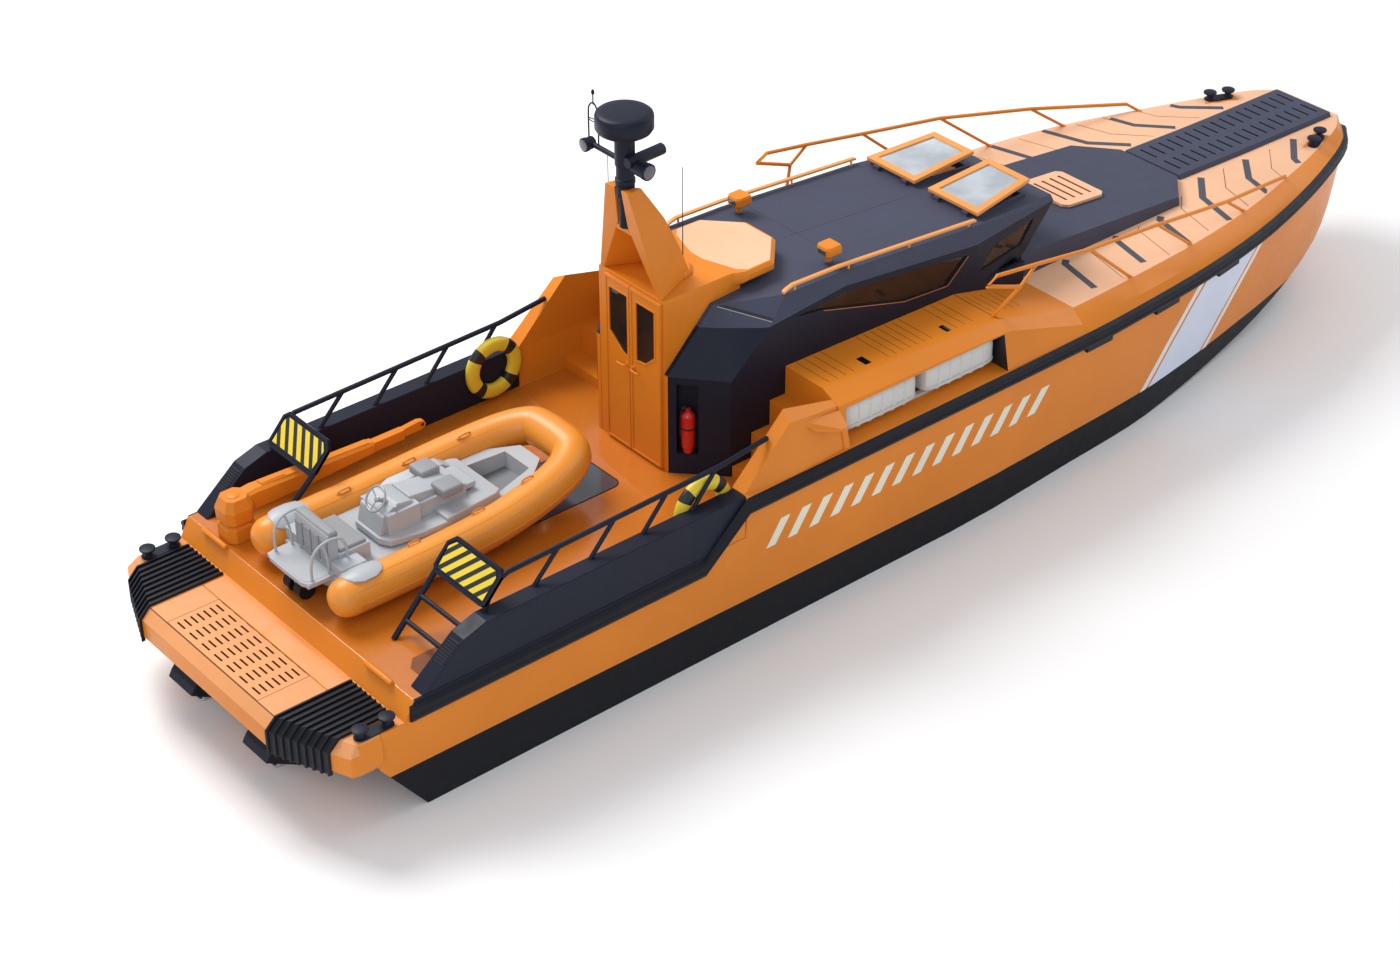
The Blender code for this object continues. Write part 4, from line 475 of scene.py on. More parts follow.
def clipped(outline, window):
    """The part of a convex outline that lies inside a convex window, both anticlockwise."""
    found = [Vector(p) for p in outline]
    window = [Vector(p) for p in window]
    for start, end in zip(window, window[1:] + window[:1]):
        edge = end - start
        inside = [edge.x * (p.y - start.y) - edge.y * (p.x - start.x) for p in found]
        kept = []
        for i, point in enumerate(found):
            j = (i + 1) % len(found)
            if inside[i] >= 0:
                kept.append(point)
            if inside[i] * inside[j] < 0:
                kept.append(point.lerp(found[j], inside[i] / (inside[i] - inside[j])))
        found = kept
    return found


def discard(thing):
    """Remove an object and its mesh."""
    mesh = thing.data
    bpy.data.objects.remove(thing)
    bpy.data.meshes.remove(mesh)


def evaluated(worker):
    """The shape that an object's modifiers leave. The object goes."""
    bpy.context.view_layer.update()
    done = worker.evaluated_get(bpy.context.evaluated_depsgraph_get())
    found = bmesh.new()
    found.from_mesh(done.to_mesh())
    done.to_mesh_clear()
    discard(worker)
    return found


def carve(shape, cutter):
    """Cut closed shapes out of a body."""
    bmesh.ops.recalc_face_normals(cutter, faces=cutter.faces)
    worker, tool = to_object("working", shape), to_object("cutter", cutter)
    cut = worker.modifiers.new("cut", "BOOLEAN")
    cut.operation = "DIFFERENCE"
    cut.solver = "EXACT"
    cut.object = tool
    found = evaluated(worker)
    discard(tool)
    return found


def rounded(shape, width, smooth=30, segments=2):
    """The shape with its edges rounded."""
    worker = to_object("working", shape)
    add_bevel(worker, width, smooth, segments)
    return evaluated(worker)


# Hull

BOUNDARY_AFT = Vector((-4.5, -0.82))
BOUNDARY_FORE = Vector((9.35, -0.95))
BOUNDARY_SLOPE = (BOUNDARY_FORE.y - BOUNDARY_AFT.y) / (BOUNDARY_FORE.x - BOUNDARY_AFT.x)
BOTTOM_PLANE = ((BOUNDARY_AFT.x, 0, BOUNDARY_AFT.y), (-BOUNDARY_SLOPE, 0, 1))
FOREDECK_X = 4.85
AFT_DECK_X = 1.5
MARGIN_AFT_X = -4.32
MARGIN_FORE_X = -0.62
MARGIN_Y = 2.04
MARGIN_Z = -0.1
MARGIN_PLANES = (((0, 0, MARGIN_Z), (0, 0, 1)), ((MARGIN_FORE_X, 0, 0), (1, 0, 0)),
                 ((0, MARGIN_Y, 0), (0, 1, 0)), ((0, -MARGIN_Y, 0), (0, 1, 0)))
RAIL_DROP = ((-0.375, 0, 0.2), (0.2, 0, -0.215))
BAND_LEAN = 0.66
BAND_TOP = 0.29
CHEVRON_MARGIN = 0.07
CHEVRONS = (
    # outer end, kink, inner end
    ((9.84, 1.13), (9.92, 0.95), (10.35, 0.58)),
    ((8.9, 1.43), (9.05, 0.95), (9.42, 0.58)),
    ((7.965, 1.62), (8.18, 0.957), (8.58, 0.58)),
    ((7.13, 1.71), (7.32, 1.03), (7.4, 0.98)),
    ((6.35, 1.7), (6.52, 1.05), (6.6, 0.99)),
    ((5.45, 1.76), (5.62, 1.08), (5.7, 1.02)),
)


def boundary_z(x):
    """Height of the line between the orange side and the dark bottom."""
    return BOUNDARY_AFT.y + BOUNDARY_SLOPE * (x - BOUNDARY_AFT.x)


def hull_colour(place, normal):
    """0 orange paint, 1 bottom paint, 2 non-slip foredeck, its peach partly a painted highlight, 3 glossy aft
    deck, 4 navy margin beside it, partly painted shade.
    """
    if place.z < boundary_z(place.x) - 0.001:
        return 1
    # The navy margin beside the bulwark is partly painted shade.
    if MARGIN_AFT_X < place.x < MARGIN_FORE_X and abs(place.y) > MARGIN_Y and MARGIN_Z < place.z < 0.02:
        return 4
    # The foredeck's top faces take the peach non-slip, which is partly a painted highlight.
    if normal.z > 0.98 and place.x > FOREDECK_X and place.z > 0.55:
        return 2
    return 3 if normal.z > 0.98 and place.x < AFT_DECK_X and abs(place.z) < 0.02 else 0


def bulwark_colour(place, normal):
    """0 navy, 1 the hull's orange below the slope of the rub rail."""
    point, slope = RAIL_DROP
    return (place - Vector(point)).dot(Vector(slope)) > 0 and abs(place.y) > 2


def build_hull_marks():
    """Pale bow band with its thin strips, plain reflective bars, and brackets under the rub rail."""
    tree = surface("hull")
    for word, side in SIDES:
        band, thin, bars, brackets = [bmesh.new() for _ in range(4)]
        for target, start, width in ((band, 7.25, 1.1), (thin, 7.08, 0.11), (thin, 8.41, 0.11)):
            low = boundary_z(start) + 0.004
            shift = BAND_LEAN * (BAND_TOP - low)
            add_side_patch(target, tree, ((start - shift, low), (start + width - shift, low),
                                          (start + width, BAND_TOP), (start, BAND_TOP)), side, 0.004)
        for i in range(14):
            start = 0.14 + 0.305 * i
            add_side_patch(bars, tree, ((start, -0.29), (start + 0.13, -0.29), (start + 0.32, 0.03),
                                        (start + 0.19, 0.03)), side, 0.003)
        for x in (5.18, 6.42, 7.66):
            aft, fore = [reach_side(tree, x + shift, 0.26, side) for shift in (-0.22, 0.22)]
            add_slanted_box(brackets, aft, fore - aft, (0, side * 0.045, 0), (0, 0, 0.06))
        piece(f"rail_brackets_{word}", brackets, RUBBER, bevel=0.005)
        piece(f"bow_band_{word}", band, BAND)
        piece(f"bow_strips_{word}", thin, STRIP)
        piece(f"reflective_bars_{word}", bars, REFLECTIVE)


def build_foredeck_marks():
    """Dark chevrons and thin seams on the foredeck, and raised pads under the bow bollards."""
    tree = surface("hull")
    for word, side in SIDES:
        chevrons, seams = bmesh.new(), bmesh.new()
        lines = [[Vector((x, side * y)) for x, y in line] for line in CHEVRONS]
        for outer, kink, inner in lines:
            end = outer.lerp(kink, CHEVRON_MARGIN / (kink - outer).length)
            add_deck_strip(chevrons, tree, (end, kink, inner), 0.085)
        for first, second in zip(lines, lines[1:]):
            add_deck_strip(seams, tree, [(a + b) / 2 for a, b in zip(first, second)], 0.008, 0.001)
        pad = add_deck_strip(bmesh.new(), tree, [(10.3, side * 0.9), (10.74, side * 0.72)], 0.2, 0.004)
        piece(f"foredeck_chevrons_{word}", chevrons, CHEVRON)
        piece(f"foredeck_seams_{word}", seams, SEAM, slot="black_rubber")
        piece(f"bow_bollard_pad_{word}", pad, PAINT)


# Carried-over pieces

SKINS = (
    # node or pair of nodes, material, bevel, smoothing angle
    ("door_{}", PAINT, 0.005, 30),
    # The roof lids' paler orange is a painted highlight.
    ("roof_hatch_{}", ORANGE_HIGHLIGHT, 0.006, 30),
    ("jet_housing_{}", NAVY_PAINT, 0, 40),
    ("jet_nozzle_{}", STEEL, 0, 40),
    ("jet_bucket_{}", NAVY_PAINT, 0, 30),
    ("side_window_{}", GLASS, 0, 30),
    ("rub_rail", RUBBER, 0.006, 30),
    ("foredeck_trunk", NAVY_DECK_REFLECTION, 0.01, 20),
    ("windscreen", GLASS, 0, 30),
    ("helm_console", NAVY_PAINT, 0.01, 30),
    ("door_housing", PAINT, 0.006, 25),
    ("crane_pedestal", PAINT, 0.008, 25),
    ("crane_boom", PAINT, 0.008, 25),
    ("crane_extension", PAINT, 0.006, 25),
    ("tender_wheels", RUBBER, 0, 40),
)
BOX_LIGHT = (2.155, 0.74)


def build_skins():
    """Finished copies of the CAD nodes that need no shape of their own."""
    skin("hull", (PAINT, BOOT, NON_SLIP_HIGHLIGHT, DECK_GLOSS, NAVY_PAINT), 0.008, 24,
         (BOTTOM_PLANE,) + MARGIN_PLANES, choose=hull_colour)
    for stem, *details in SKINS:
        for node in dict.fromkeys(stem.format(word) for word, side in SIDES):
            skin(node, *details)
    for word, side in SIDES:
        skin(f"bulwark_{word}", (NAVY_PAINT, PAINT), 0.012, 30, (RAIL_DROP,), choose=bulwark_colour)
    # The hatch's top takes the peach non-slip, partly a painted highlight. The walls of its gap take painted
    # shade.
    skin("foredeck_hatch", (NON_SLIP_HIGHLIGHT, SLOT_SHADE), 0.004, 30,
         choose=lambda place, normal: (abs(place.y) < 0.275 and 6.45 < place.x < 6.925
                                       and max(abs(normal.x), abs(normal.y)) > 0.5))
    skin("wheelhouse", (NAVY_PAINT, PAINT), 0.006, 25,
         choose=lambda place, normal: normal.x < -0.9 and place.x < 0.02)

    def roof_colour(place, normal):
        """1 the orange box lights."""
        x, y = BOX_LIGHT
        beside = abs(abs(place.y) - y) < 0.16 and place.z > 1.91 and normal.z < 0.999
        return abs(place.x - x) < 0.16 and (beside or place.z > 1.97)

    skin("wheelhouse_roof", (NAVY_DECK_REFLECTION, PAINT), 0.006, 20, choose=roof_colour)


# Stern

GUARD_SLOPE = atan2(0.32, 0.29)
GUARD_UP = Vector((cos(GUARD_SLOPE), 0, sin(GUARD_SLOPE)))
GUARD_OUT = Vector((-sin(GUARD_SLOPE), 0, cos(GUARD_SLOPE)))
GUARD_CORNER = Vector((-3.42, 0, 0.545))
RING = Vector((-0.54, 1.8094, 0.42))
BULWARK_END = Vector((0.52, 0, 0.43))
PLATFORM_Z = -0.22


def build_platform():
    """Swim platform with its slotted middle, and the bars along the deck's after edge."""
    slots = bmesh.new()
    for row in range(10):
        x = -5.35 + 0.0765 * row
        for k in range(-3, 4):
            y = 0.2324 * k
            add_box(slots, (x, y - 0.0728, -0.26), (x + 0.022, y + 0.0728, -0.15))
    groove = add_frame(bmesh.new(), [(-5.42, -0.84), (-4.6, -0.84), (-4.6, 0.84), (-5.42, 0.84)], 0.006,
                       -0.226, -0.15)

    def colour(place, normal):
        """0 orange paint, 1 the slots and groove, dark as painted shade, 2 the paler top, a painted
        highlight.
        """
        if -0.27 < place.z < -0.2205 and abs(place.y) < 0.85 and -5.43 < place.x < -4.59:
            return 1
        return 2 * int(normal.z > 0.4)

    shape = carve(carve(rounded(node_shape("swim_platform"), 0.014, 25, 3), slots), groove)
    piece("swim_platform_skin", shape, (PAINT, SLOT_SHADE, PLATFORM_TOP_HIGHLIGHT), 30, weighted=True, choose=colour)
    bar = add_tube(bmesh.new(), [(-4.42, y, 0.012) for y in (1.27, 1.29, 1.7, 1.72)], 0.034, 20,
                   radii=(0.026, 0.034, 0.034, 0.026))
    pair("deck_edge_bar_{}", bar, PAINT, 40)


def build_bulwark_louvres():
    """Slatted vents on the sloping after ends of the bulwarks."""
    slope = BULWARK_END.normalized()
    out = Vector((-slope.z, 0, slope.x))
    across = Vector((0, 0.15, 0))
    start = Vector((-4.3, 1.89, 0)) + BULWARK_END * 0.52
    plate = add_slanted_box(bmesh.new(), start - out * 0.004, slope * 0.27, across, out * 0.006)
    # The black plate behind the slats is painted shade inside the vent.
    pair("bulwark_vent_{}", plate, BLACK, bevel=0.001)
    slats = bmesh.new()
    for k in range(8):
        place = start + slope * (0.012 + 0.032 * k) + out * 0.001
        add_slanted_box(slats, place, slope * 0.018 + out * 0.006, across, out * 0.005)
    pair("bulwark_slats_{}", slats, NAVY_PAINT, bevel=0.001)


def on_guard(y, along, lift):
    """The place on a hazard guard y to port and some way up its slope, lifted off its inner face."""
    return GUARD_CORNER + GUARD_UP * along + GUARD_OUT * lift + Vector((0, y, 0))


def build_guard_stripes():
    """Yellow hazard stripes on both faces of the after guards."""
    window = [(1.13, 0.06), (1.87, 0.06), (1.87, 0.32), (1.82, 0.375), (1.18, 0.375), (1.11, 0.3)]
    panel, bars = bmesh.new(), bmesh.new()
    for lifts in ((0.0345, 0.037), (-0.002, 0.0005)):
        add_loft(panel, [[on_guard(*p, lift) for p in inset(window, -0.006)] for lift in lifts])
    for k in range(-4, 7):
        foot = 1.13 + 0.152 * k
        part = clipped([(foot, 0), (foot + 0.082, 0), (foot + 0.442, 0.45), (foot + 0.36, 0.45)], window)
        if len(part) > 2:
            for lifts in ((0.0365, 0.0385), (-0.0035, -0.0015)):
                add_loft(bars, [[on_guard(*p, lift) for p in part] for lift in lifts])
    pair("guard_panel_{}", panel, BLACK, slot="navy_paint")
    pair("guard_stripes_{}", bars, YELLOW)


def build_life_rings():
    """Yellow rings with four black bands."""
    rings = []
    for i in range(64):
        angle = 2 * pi * i / 64
        outward = Vector((cos(angle), 0, sin(angle)))
        ring = []
        for k in range(20):
            turn = 2 * pi * k / 20
            deep = Vector((0, 0.06 * bulge(sin(turn), 0.8), 0))
            ring.append(RING + outward * (0.29 + 0.085 * bulge(cos(turn), 0.8)) + deep)
        rings.append(ring)

    def colour(place, normal):
        """1 the black bands."""
        return (degrees(atan2(place.z - RING.z, place.x - RING.x)) + 58) % 90 < 26

    pair("life_ring_{}_skin", add_loft(bmesh.new(), rings, closed=True), (YELLOW, BLACK), 60, choose=colour)


def build_deck_panel():
    """Dark glossy hatch let into the after deck, and a dark patch of painted shade for the recess beside the
    starboard bulwark.
    """
    corners = []
    for x, y, start in ((-0.62, 0.33, 0), (-1.78, 0.33, 90), (-1.78, -0.34, 180), (-0.62, -0.34, 270)):
        for k in range(6):
            angle = radians(start + 18 * k)
            corners.append((x + 0.11 * cos(angle), y + 0.11 * sin(angle)))
    panel = add_prism(bmesh.new(), inset(corners, 0.014), -0.004, 0.003)
    piece("deck_hatch_panel", panel, DARK_PANEL, bevel=0.001)
    edge = add_frame(bmesh.new(), corners, 0.012, -0.004, 0.005)
    piece("deck_hatch_edge", edge, RUBBER, bevel=0.001)
    recess = [(-4.13, -1.83), (-4.13, -1.62), (-4.02, -1.5), (-3.74, -1.5), (-3.74, -1.83)]
    piece("deck_recess_starboard", add_prism(bmesh.new(), recess, -0.004, 0.0015), SLOT_SHADE)


# Mats, bollards and rails

def build_mats():
    """Rubber mats draped over the platform's corners, with tall narrow ribs."""
    inner_y, outer_y = 1.17, 1.86
    shape = bmesh.new()
    bands = [(inner_y + 0.005, outer_y - 0.005, 0.01)]
    bands += [(inner_y + 0.0825 * k + 0.003, inner_y + 0.0825 * k + 0.027, 0.034) for k in range(9)]
    for low_y, high_y, rise in bands:
        sections = []
        count = 9 if high_y - low_y > 0.1 else 2
        for i in range(count):
            y = low_y + (high_y - low_y) * i / (count - 1)
            share = (y - inner_y) / (2.075 - inner_y)
            edge_x = -5.53 + share * 0.36
            top_x = edge_x + 0.11 - 0.01 * share
            top_z = PLATFORM_Z + rise
            sections.append([(x, y, z) for x, z in (
                (edge_x + 0.01, -0.6), (edge_x + 0.01, -0.335), (top_x + 0.005, -0.235), (-4.54, -0.235),
                (-4.54, PLATFORM_Z + rise * 0.8), (-4.56, top_z), (top_x - rise * 0.35, top_z),
                (edge_x - rise, -0.33 + rise * 0.5), (edge_x - rise, -0.6))])
        add_loft(shape, sections)
    pair("platform_mat_{}_skin", shape, RUBBER, 30, 0.003)


def build_bollards():
    """Twin-post bollards with broad round caps on a rounded base."""
    lowest = min(v.co.z for v in frame["nodes"]["bow_bollard_port"].data.vertices) - DECK.z
    for stem, aft, fore, low in (("stern_bollard", (-4.97, 1.96), (-4.66, 1.96), PLATFORM_Z + 0.0005),
                                 ("bow_bollard", (10.4, 0.86), (10.64, 0.76), lowest)):
        first, last = Vector((*aft, low)), Vector((*fore, low))
        along = (last - first).normalized()
        across = Vector((-along.y, along.x, 0))
        outline = []
        for middle, start in ((last, -90), (first, 90)):
            for k in range(9):
                angle = radians(start + 22.5 * k)
                outline.append(middle + 0.072 * (cos(angle) * along + sin(angle) * across))
        shape = add_loft(bmesh.new(), [outline, [p + UP * 0.018 for p in outline]])
        for foot in (first, last):
            add_turned(shape, foot, UP, ((0.056, 0), (0.05, 0.02), (0.04, 0.04), (0.04, 0.066),
                                         (0.065, 0.084), (0.082, 0.09), (0.087, 0.099), (0.085, 0.112),
                                         (0.07, 0.118)), 32)
        pair(stem + "_{}_skin", shape, NAVY_PAINT)


def build_aft_rails():
    """Handrails on slanted posts, with the hazard guards and their legs."""
    y = 1.89
    guard = [(1.925, 0.03), (1.925, 0.36), (1.86, 0.43), (1.15, 0.43), (1.06, 0.33), (1.06, 0.06),
             (1.12, 0), (1.87, 0)]
    for word, side in SIDES:
        shape = add_loft(bmesh.new(), [[on_guard(*p, lift) for p in guard] for lift in (0.002, 0.032)])
        rings = []
        for outer, inner in zip(guard, inset(guard, 0.034)):
            rings.append([on_guard(*outer, -0.003), on_guard(*outer, 0.042), on_guard(*inner, 0.042),
                          on_guard(*inner, -0.003)])
        add_loft(shape, rings, closed=True)
        add_tube(shape, [(-3.19, y, 0.8), (-3.1, y, 0.835), (-0.36, y, 0.9), (0.27, y, 0.973)], 0.029, 14)
        for x in (-2.81, -2.1, -1.42, -0.76):
            add_tube(shape, [(x, y, 0.5005), (x + 0.33, y, 0.85 + 0.024 * (x + 2.5))], 0.025, 14)
        add_tube(shape, [(-3.41, y, 0.5005), (-3.35, y, 0.62)], 0.03, 14)
        top, foot = Vector((-3.37, 1.1, 0.61)), Vector((-3.985, 1.13, 0.001))
        add_tube(shape, [foot, top], 0.032, 14)
        for share in (0.41, 0.74) if side < 0 else ():
            start = top.lerp(foot, share)
            add_tube(shape, [start, (start.x, 1.8695, start.z)], 0.027, 14)
        piece(f"aft_rail_{word}_skin", mirror(shape, side), NAVY_PAINT, 40)


def build_fore_rails():
    """Foredeck handrails with their triangular loops, and the roof's grab rails."""
    deck = surface("hull")
    corner, brace = (3.97, 1.9, 1.41), (4.22, 1.89, 1.6)
    shape = add_tube(bmesh.new(), [corner, (3.44, 1.9, 1.61), (3.59, 1.9, 1.69), brace, (5.11, 1.87, 1.46),
                                   (6.35, 1.79, 1.3), (7.8, 1.62, 1.03), (9.29, 1.31, 0.74)], 0.023, 14)
    add_tube(shape, [corner, brace], 0.02, 14)
    add_tube(shape, [(3.735, 1.735, 1.0415), corner], 0.021, 14)
    for x, y, top in ((5.98, 1.765, (5.11, 1.87, 1.46)), (7.14, 1.66, (6.35, 1.79, 1.3)),
                      (8.3, 1.49, (7.8, 1.62, 1.03)), (9.42, 1.2, (9.28, 1.31, 0.745))):
        foot = drop(deck, x, y)
        add_tube(shape, [foot, top], 0.019, 14)
        add_turned(shape, foot, UP, ((0.034, 0), (0.034, 0.006), (0.026, 0.012)), 18)
    pair("fore_rail_{}_skin", shape, PAINT, 40)

    roof = surface("wheelhouse_roof")
    section = ((-0.026, -0.01), (-0.02, -0.015), (0.02, -0.015), (0.026, -0.01), (0.026, 0.01),
               (0.02, 0.015), (-0.02, 0.015), (-0.026, 0.01))
    line = ((1.29, 0.97, 1.925), (1.33, 0.97, 1.948), (1.42, 0.97, 1.975), (2.1, 0.97, 1.955),
            (4.1, 0.985, 1.803), (4.15, 0.985, 1.795))
    bar = add_loft(bmesh.new(), [[(x, y + a, z + b) for a, b in section] for x, y, z in line])
    for x, height in ((1.46, 1.97), (2.24, 1.94436), (3.15, 1.87522), (4.08, 1.80456)):
        add_tube(bar, [drop(roof, x, 0.965), (x, 0.975, height)], 0.013, 12)
    # The grab rails' paler orange is a painted highlight.
    pair("roof_rail_{}_skin", bar, ORANGE_HIGHLIGHT)


# Side decks and rafts

def build_side_decks():
    """Side decks with their lifting slots, drain grooves and panel seam."""
    def deck_z(x):
        """Height of the sloping deck."""
        return 1.1 - 0.06 * (x - 1.23) / 2.53

    def colour(place, normal):
        """1 the raft bay's forward end and the slots, black as painted shade."""
        in_slot = 1.44 < abs(place.y) < 1.67 and (1.91 < place.x < 2.02 or 3.1 < place.x < 3.19)
        return (normal.x < -0.9 and 3.6 < place.x < 3.72 and place.z < 0.94
                or in_slot and 0.98 < place.z < deck_z(place.x) - 0.02)

    slots = bmesh.new()
    for x0, x1, y0, y1 in ((1.92, 2.01, 1.46, 1.62), (3.105, 3.18, 1.515, 1.66)):
        top = deck_z((x0 + x1) / 2)
        add_box(slots, (x0, y0, top - 0.05), (x1, y1, top + 0.1))
    for word, side in SIDES:
        shape = carve(rounded(node_shape(f"side_deck_{word}"), 0.007), mirror(slots.copy(), side))
        piece(f"side_deck_{word}_skin", shape, (PAINT, BLACK), 30, weighted=True, choose=colour)
    slots.free()
    grooves = bmesh.new()
    tree = surface("side_deck_port")
    for x in [1.37 + 0.12 * k for k in range(4)] + [2.24 + 0.107 * k for k in range(7)] + [3.26, 3.38, 3.5]:
        add_deck_strip(grooves, tree, [(x, 1.12), (x, 1.64 + 0.03 * (x - 1.3) / 2.5)], 0.007, 0.001)
    for x in (3.84, 3.96, 4.08, 4.2, 4.32):
        add_deck_strip(grooves, tree, [(x, 1.2), (x, 1.6)], 0.007, 0.001)
    add_deck_strip(grooves, tree, [(3.755, 1.11), (3.755, 1.815)], 0.009, 0.001)
    pair("side_deck_grooves_{}", grooves, SEAM)


def build_rafts():
    """White canisters with raised ribs and a scalloped flange, on their cradle."""
    shape = bmesh.new()
    y = 1.66
    end = ((0.43, 0.965), (0.48, 0.92), (0.515, 0.82), (0.525, 0.7))
    stations = [(-along, scale) for along, scale in reversed(end)]
    for rib in (-0.34, -0.17, 0, 0.17, 0.34):
        stations += [(rib - 0.02, 0.965), (rib - 0.01, 1.03), (rib + 0.01, 1.03), (rib + 0.02, 0.965)]
    stations += end
    turns = [radians(angle) for angle in range(5, 360, 10)]
    section = [(0.235 * bulge(cos(turn), 0.42), 0.189 * bulge(sin(turn), 0.42)) for turn in turns]
    for middle in (1.94, 3.13):
        add_loft(shape, [[(middle + along, y + scale * a, 0.715 + scale * b) for a, b in section]
                         for along, scale in stations])
        for low, spread in ((0.6, 1), (0.616, 1.01)):
            outline = []
            for k in range(48):
                angle = 2 * pi * (k + 0.5) / 48
                wave = 0.252 * spread * (1 + 0.012 * cos(24 * angle))
                outline.append((middle + 0.545 * bulge(cos(angle), 0.35),
                                y + wave * bulge(sin(angle), 0.35)))
            add_prism(shape, outline, low, low + 0.012)
    for y in (1.5, 1.74):
        add_box(shape, (1.5, y, 0.5003), (3.58, y + 0.06, 0.535))
    pair("life_rafts_{}_skin", shape, CANISTER)


def build_extinguishers():
    """Red bottles with a foot ring, clamp, valve, lever and hose."""
    for word, side in SIDES:
        places = [vert.co - DECK for vert in frame["nodes"][f"extinguisher_{word}"].data.vertices]
        x = (min(p.x for p in places) + max(p.x for p in places)) / 2
        y = side * (min(p.y for p in places) + max(p.y for p in places)) / 2
        z = min(p.z for p in places)
        bottle = add_turned(bmesh.new(), (x, y, z), UP, (
            (0.055, 0), (0.062, 0.012), (0.062, 0.055), (0.074, 0.062), (0.0795, 0.075), (0.08, 0.25),
            (0.08, 0.44), (0.076, 0.465), (0.062, 0.49), (0.04, 0.507), (0.026, 0.515), (0.024, 0.53),
            (0.03, 0.532), (0.03, 0.545), (0.022, 0.548)), 32)
        piece(f"extinguisher_{word}_skin", mirror(bottle, side), RED, 40)
        clamp = ((0.079, 0.3), (0.083, 0.302), (0.083, 0.322), (0.079, 0.324))
        fittings = add_turned(bmesh.new(), (x, y, z), UP, clamp, 32)
        lever = ((0, 0, 0.55), (-0.03, -0.01, 0.575), (-0.075, -0.02, 0.56))
        hose = ((0, 0, 0.54), (-0.04, -0.05, 0.52), (-0.055, -0.068, 0.4), (-0.05, -0.073, 0.18))
        for line, radius in ((lever, 0.008), (hose, 0.009)):
            add_tube(fittings, curve([Vector(p) + Vector((x, y, z)) for p in line]), radius, 8)
        piece(f"extinguisher_fittings_{word}", mirror(fittings, side), BLACK, 40)


# Deckhouse

DOORS = (
    # side, near and far edge, window
    (SIDES[0], (-0.008, 0.41), ((0.03, 1.185), (0.03, 1.93), (0.335, 1.93), (0.335, 1.395), (0.11, 1.215))),
    (SIDES[1], (0.014, 0.52), ((0.12, 1.214), (0.12, 1.93), (0.42, 1.93), (0.42, 1.37), (0.265, 1.232))),
)


def build_doors():
    """Two door leaves with a raised border, a bevelled window trim, glass and a handle."""
    for (word, side), (near, far), window in DOORS:
        body = f"door_leaf_{word}"
        left, right = near + 0.004, far - 0.004
        trim = add_frame(bmesh.new(), [(left, 0.028), (right, 0.028), (right, 2.062), (left, 2.062)], 0.03,
                         -0.0385, -0.028, "x")
        add_frame(trim, inset(window, -0.018), 0.021, -0.0365, -0.02, "x")
        piece(f"door_trim_{word}", mirror(trim, side), PAINT, 30, 0.004, body)
        pane = add_prism(bmesh.new(), inset(window, -0.001), -0.019, -0.013, "x")
        piece(f"door_pane_{word}", mirror(pane, side), GLASS, body=body)
        start, end = near + 0.045, near + 0.18
        handle = add_box(bmesh.new(), (-0.04, start - 0.02, 1.06), (-0.0295, start + 0.03, 1.12))
        grip = [(-0.04, start, 1.09), (-0.075, start + 0.01, 1.09), (-0.08, (start + end) / 2, 1.085),
                (-0.075, end, 1.08)]
        add_tube(handle, curve(grip, 4), 0.01, 10)
        piece(f"door_handle_{word}", mirror(handle, side), PAINT, 40, 0.002, body)


def build_house_marks():
    """Non-slip on the door housing's cap, its peach partly a painted highlight, quarter windows, sills, slit
    vents, box light lenses and wipers.
    """
    half = [(0.91, -0.1), (1.04, -0.5), (1.13, -0.585), (1.45, -0.575), (1.78, -0.225)]
    cap = half + [(x, -y) for x, y in reversed(half)]
    piece("housing_cap_panel", add_prism(bmesh.new(), cap, 2.098, 2.102), NON_SLIP_HIGHLIGHT)

    wall = surface("wheelhouse")
    outer = [reach_side(wall, x, z) for x, z in ((4.14, 1.165), (4.39, 1.425), (5.16, 1.485), (4.935, 1.205))]
    inward = Vector((0, -0.014, 0))
    pair("quarter_glass_{}", add_loft(bmesh.new(), [[p + inward * k for p in outer] for k in (2, 1)]), GLASS)
    sill = ((1.77, 1.58), (2.98, 1.235), (3.655, 1.185), (3.965, 1.455))
    for word, side in SIDES:
        line = [reach_side(wall, x, z, side) for x, z in sill]
        piece(f"window_sill_{word}", add_tube(bmesh.new(), line, 0.0035, 6), PAINT, 40)

    shell = surface("wheelhouse", "wheelhouse_roof")
    # The black strip is painted shade inside the slit vent.
    slit = add_deck_strip(bmesh.new(), shell, [(0.665, 0.62), (1.07, 1.06)], 0.026, 0.002)
    pair("roof_slit_{}", slit, BLACK, slot="navy_paint")
    lip = add_deck_strip(bmesh.new(), shell, [(0.655, 0.635), (1.055, 1.07)], 0.005, 0.004)
    pair("roof_slit_lip_{}", lip, STEEL_GREY)
    x, y = BOX_LIGHT
    lens = add_box(bmesh.new(), (x - 0.109, y - 0.065, 2.018), (x - 0.103, y + 0.065, 2.075))
    pair("box_light_lens_{}", lens, LENS, bevel=0.002)

    roof = surface("wheelhouse_roof")
    seams = add_deck_strip(bmesh.new(), roof, [(2.35, -0.93), (2.35, 0.93)], 0.007, 0.001)
    add_deck_strip(seams, roof, [(1.84, 0), (4.1, 0)], 0.006, 0.001)
    piece("roof_seams", seams, SEAM, slot="navy_paint")

    wipers = bmesh.new()
    screen = surface("windscreen")
    lift = Vector((0.012, 0, 0.012))
    for y in (-0.42, 0.3):
        foot, tip = drop(screen, 5.33, y + 0.22), drop(screen, 5.1, y)
        add_tube(wipers, [foot + lift * 2, tip + lift * 1.5], 0.008, 8)
    piece("wipers", wipers, BLACK, 40)


